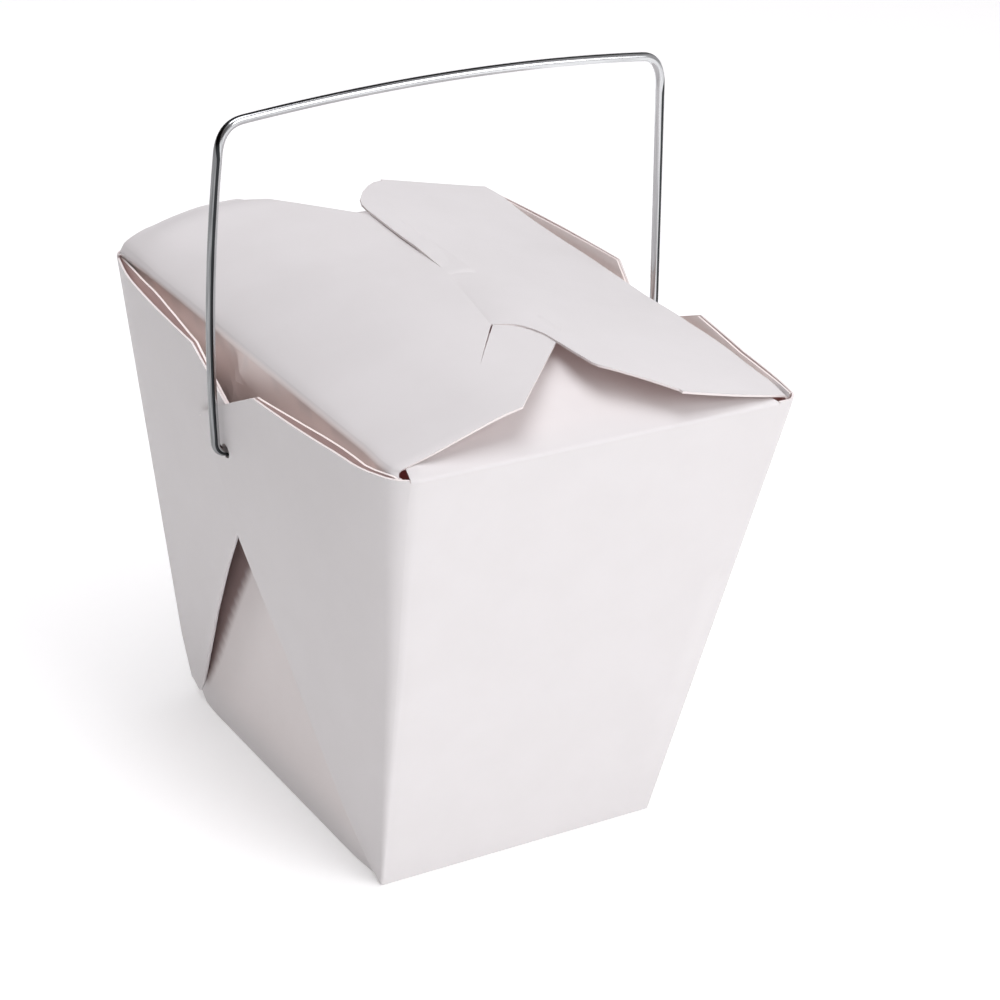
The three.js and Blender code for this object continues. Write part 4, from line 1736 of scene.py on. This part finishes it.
    def add_right_flap(self, sheet: BoardSheet) -> None:
        """Adds the right lid flap with the tongue that goes into the slit.

        Args:
            sheet: Sheet of board that it is part of.
        """
        lid, flank, strip = self.lid, self.flanks[1], self.edge_strip
        front, back = lid.tongue_y
        grid = []
        for y in self.wall_columns(flank):
            edge, t = lid.right_edge.at(y), (y - front) / (back - front)
            tongue = math.sqrt(math.sin(math.pi * t)) if 0 < t < 1 else 0.0
            marks = [flank.flap_begin(y), edge + strip, edge, edge - lid.tongue_reach * tongue]
            across = []
            for start, stop, count in zip(marks, marks[1:], self.right_steps):
                across += steps(start, stop, count)[1:]
            points = [(x, y, lid.right_top(x, y)) for x in across]
            grid.append([*self.flap_start(flank, y), *points])
        # The fold of the flap gets a painted warm colour.
        sheet.patch(grid, (1.0, 0.0, 0.2), marks={"painted_warmth": self.cover.fold})

    def add_base(self, sheet: BoardSheet) -> None:
        """Adds the base with its worn, slightly rounded edge.

        Args:
            sheet: Sheet of board that it is part of.
        """
        foot = self.form.foot_z
        left, right = (self.wall_row(flank, foot) for flank in self.flanks)
        outline = [*reversed(left), *self.panel_row(End.FRONT, 0.0)]
        outline += [*right, *reversed(self.panel_row(End.BACK, 0.0))]
        rows = []
        for angle in steps(0, math.pi / 2, self.base_steps):
            inset, z = foot * (1 - math.cos(angle)), foot * (1 - math.sin(angle))
            rows.append([self.drawn_in(p, inset, z) for p in [*outline, outline[0]]])
        sheet.patch(rows, (-1.0, 0.0, -0.2))
        sheet.fan([self.drawn_in(p, foot, 0.0) for p in outline], (0, 0, 0), (0, 0, -1))

    def drawn_in(self, point: Point, inset: float, z: float) -> Point:
        """Gives a point moved in from both outer faces.

        Args:
            point: Point of the outline.
            inset: Distance moved.
            z: Its new height.

        Returns:
            The point.
        """
        x, y, _ = point
        share = min(abs(y) / self.foot_round, 1)
        return (x - math.copysign(inset, x), y - math.copysign(inset, y) * share, z)


# Wire handle


@dataclass(frozen=True)
class WireHandle:
    """The bent wire: two bowed legs, an arched crossbar and short ends that point inwards.

    A leg is given by its x at the foot, half way up and at the top. Pairs of sizes are x and z.
    """

    radius: float = 0.93
    end_share: float = 0.8
    sides: int = 20
    pivot_z: float = 81.0
    hook_end: float = 40.8
    hook_bend: float = 3.2
    hook_lead: float = 2.0
    left_leg: Point = (-49.7, -52.6, -50.4)
    right_leg: Point = (53.9, 52.0, 49.7)
    leg_top: float = 144.0
    top_bend: float = 5.0
    left_pull: Span = (0.6, 0.5)
    right_pull: Span = (-0.5, 0.4)
    bar_left: float = 149.6
    bar_right: float = 150.7
    arch: Span = (2.0, 154.6)
    painted_reflection_twist: float = 0.22
    painted_reflection_twist_z: Span = (142.0, 149.0)
    uv_length: float = 100.0
    sharp_from: float = 50.0
    curve_steps: tuple[int, int, int, int] = (6, 14, 50, 18)
    bar_steps: int = 70

    def half(self, sign: int) -> list[tuple[Span, Span, Span, int]]:
        """Gives the curves of one half of the wire, up to the crossbar.

        Args:
            sign: Sign of its x.

        Returns:
            Start, pull, end and number of steps of each curve.
        """
        foot, bow, top = self.left_leg if sign < 0 else self.right_leg
        pull = self.left_pull if sign < 0 else self.right_pull
        bar = self.bar_left if sign < 0 else self.bar_right
        z, bend = self.pivot_z, self.hook_bend
        start, lead = (sign * self.hook_end, z), (sign * (self.hook_end + self.hook_lead), z)
        before, after = (foot - sign * bend, z), (foot, z + bend)
        shoulder, middle = (top, self.leg_top), (bow, (z + self.leg_top) / 2)
        over, end = (top + pull[0], bar - pull[1]), (top - sign * self.top_bend, bar)
        hook, bow_out, leg, turn = self.curve_steps
        return [
            (start, lead, before, hook),
            (before, (foot, z), after, bow_out),
            (after, middle, shoulder, leg),
            (shoulder, over, end, turn),
        ]

    def path(self) -> list[Vector]:
        """Gives the middle line of the wire.

        Returns:
            Points from the left end to the right one.
        """
        left, right = self.half(-1), self.half(1)
        bar = (left[-1][2], self.arch, right[-1][2], self.bar_steps)
        points = [Vector((-self.hook_end, 0.0, self.pivot_z))]
        for a, b, c, count in [*left, bar, *((c, b, a, n) for a, b, c, n in reversed(right))]:
            for t in steps(0, 1, count)[1:]:
                x, z = (mix(mix(p, q, t), mix(q, r, t), t) for p, q, r in zip(a, b, c))
                points.append(Vector((x, 0.0, z)))
        return points

    def build(self, material: bpy.types.Material) -> bpy.types.Object:
        """Builds the wire as a tube whose texture turns so that the painted dark reflection lies on
        its upper side along the crossbar.

        Args:
            material: Finish of the wire.

        Returns:
            The piece.
        """
        path, side = self.path(), Vector((0, 1, 0))
        mesh = bmesh.new()
        uv = mesh.loops.layers.uv.new("along")
        rings, places, length = [], [], 0.0
        for before, here, after in zip([path[0], *path[:-1]], path, [*path[1:], path[-1]]):
            across = (after - before).normalized().cross(side).normalized()
            length += (here - before).length
            # The painted dark reflection turns onto the crossbar's upper side.
            turned = self.painted_reflection_twist * fade(here.z, self.painted_reflection_twist_z)
            places.append((turned, length / self.uv_length))
            radius = self.radius * (self.end_share if here in (path[0], path[-1]) else 1.0)
            angles = [math.tau * i / self.sides for i in range(self.sides)]
            offsets = [across * math.cos(a) + side * math.sin(a) for a in angles]
            rings.append([mesh.verts.new((here + offset * radius) * MM) for offset in offsets])
        for k in range(len(rings) - 1):
            for i in range(self.sides):
                j = (i + 1) % self.sides
                face = mesh.faces.new([rings[k][i], rings[k + 1][i], rings[k + 1][j], rings[k][j]])
                corners = ((i, k), (i, k + 1), (i + 1, k + 1), (i + 1, k))
                for loop, (around, ring) in zip(face.loops, corners):
                    turned, along = places[ring]
                    loop[uv].uv = (around / self.sides - turned, along)
        mesh.faces.new(rings[0])
        mesh.faces.new(list(reversed(rings[-1])))
        bmesh.ops.recalc_face_normals(mesh, faces=mesh.faces[:])
        piece = add_mesh("bent_wire", mesh, [material])
        shade(piece, self.sharp_from)
        return piece


# Studio


@dataclass(frozen=True)
class Softbox:
    """A large soft lamp that points at the pail; its places are in metres."""

    name: str
    place: Point
    size: Span
    power: float
    colour: Colour
    aim: Point = (0.0, 0.0, 0.07)

    def build(self) -> None:
        """Adds the lamp."""
        lamp = bpy.data.lights.new(self.name, "AREA")
        lamp.shape = "RECTANGLE"
        lamp.size, lamp.size_y = self.size
        lamp.energy = self.power
        lamp.color = self.colour
        thing = add_object(self.name, lamp)
        thing.location = self.place
        toward = Vector(self.aim) - Vector(self.place)
        thing.rotation_euler = toward.to_track_quat("-Z", "Y").to_euler()


@dataclass(frozen=True)
class Studio:
    """Pale floor, soft light all round and the camera; its places are in metres."""

    floor_colour: Colour = (0.93, 0.93, 0.93)
    floor_glow: float = 0.28
    floor_roughness: float = 0.9
    floor_specular: float = 0.1
    floor_size: float = 6.0
    floor_z: float = -0.0001
    sky_left: Colour = (0.100, 0.088, 0.088)
    sky_behind: Colour = (0.040, 0.016, 0.010)
    sky_right: Colour = (0.50, 0.49, 0.50)
    overhead: Colour = (0.31, 0.305, 0.31)
    behind_from: Span = (-0.6, 0.5)
    right_from: Span = (-0.9, 0.6)
    overhead_from: Span = (0.45, 0.95)
    softboxes: tuple[Softbox, ...] = (
        Softbox("key", (0.45, -1.15, 0.75), (0.9, 0.9), 9.3, (0.995, 0.99, 1.0)),
        Softbox("top", (-0.08, 0.0, 1.2), (1.0, 0.8), 8.5, (0.985, 0.975, 1.0)),
    )
    camera_place: Point = (-0.2932, -0.4707, 0.3416)
    camera_right: Point = (0.8495, -0.5239, 0.0619)
    camera_down: Point = (-0.1903, -0.4137, -0.8903)
    camera_forward: Point = (0.492, 0.7446, -0.4512)
    lens: float = 108.0
    sensor: float = 36.0
    clip_start: float = 0.01

    def build(self) -> None:
        """Adds the floor, the lamps, the world and the camera."""
        self.build_floor()
        self.build_world()
        for softbox in self.softboxes:
            softbox.build()
        self.build_camera()
        bpy.context.scene.view_settings.view_transform = "Standard"

    def build_floor(self) -> None:
        """Adds a wide plain floor just under the pail."""
        mesh = bmesh.new()
        bmesh.ops.create_grid(mesh, x_segments=4, y_segments=4, size=self.floor_size)
        material, graph = new_material("pale_floor")
        inputs = {
            "Base Color": self.floor_colour,
            "Roughness": self.floor_roughness,
            "Specular IOR Level": self.floor_specular,
            "Emission Color": (1.0, 1.0, 1.0),
            "Emission Strength": self.floor_glow,
        }
        graph.finish("ShaderNodeOutputMaterial", "ShaderNodeBsdfPrincipled", inputs)
        floor = add_mesh("floor", mesh, [material])
        floor.location.z = self.floor_z
        floor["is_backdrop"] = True

    def build_world(self) -> None:
        """Surrounds the pail with even light that is dimmer overhead."""
        world = bpy.data.worlds.new("soft_room")
        world.use_nodes = True
        graph = ShaderGraph(world.node_tree)
        where = graph.node("ShaderNodeTexCoord").outputs["Generated"]
        x, y, z = (graph.along(where, axis) for axis in "XYZ")
        left = graph.blend(y.over(*self.behind_from), self.sky_left, self.sky_behind)
        sky = graph.blend(x.over(*self.right_from), left, self.sky_right)
        colour = graph.blend(z.over(*self.overhead_from), sky, self.overhead)
        inputs = {"Color": colour, "Strength": 1.0}
        graph.finish("ShaderNodeOutputWorld", "ShaderNodeBackground", inputs)
        bpy.context.scene.world = world

    def build_camera(self) -> None:
        """Adds the camera and makes it the scene's."""
        data = bpy.data.cameras.new("camera")
        data.sensor_fit = "HORIZONTAL"
        data.sensor_width = self.sensor
        data.lens = self.lens
        data.clip_start = self.clip_start
        camera = add_object("camera", data)
        up, back = ([-a for a in axis] for axis in (self.camera_down, self.camera_forward))
        axes = Matrix((self.camera_right, up, back)).transposed()
        camera.matrix_world = Matrix.Translation(self.camera_place) @ axes.to_4x4()
        bpy.context.scene.camera = camera


def corners() -> list[list[float]]:
    """Returns the lowest and highest corners of everything that shows."""
    return [list(corner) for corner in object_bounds()]


def main() -> None:
    """Builds the studio and the two pieces of the pail."""
    logging.basicConfig(level=logging.INFO, format="%(name)s: %(message)s")
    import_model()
    Studio().build()
    LOG.info("studio: floor, softboxes and camera")

    printed = BoardFinish().build()
    cut = BoardFinish(
        "cut_edge",
        colour=(0.80, 0.745, 0.735),
        cloud=(0.84, 0.79, 0.78),
        roughness=0.7,
        specular=0.2,
        fibre_depth=0.02,
    ).build()
    # The inner side has its own warmer colour and a faint painted glow.
    plain = BoardFinish(
        "plain_side",
        colour=(0.70, 0.63, 0.615),
        cloud=(0.73, 0.66, 0.645),
        roughness=0.7,
        specular=0.2,
        fibre_depth=0.012,
        glow=(0.02, 0.004, 0.004),
    ).build()
    carton = Carton().build([printed, cut, plain])
    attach(carton, "carton")
    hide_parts("carton")
    LOG.info("folded carton: %d faces", len(carton.data.polygons))

    wire = WireHandle().build(SteelFinish().build())
    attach(wire, "handle")
    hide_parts("wire_handle")
    LOG.info("bent wire: %d faces", len(wire.data.polygons))


if __name__ == "__main__":
    main()
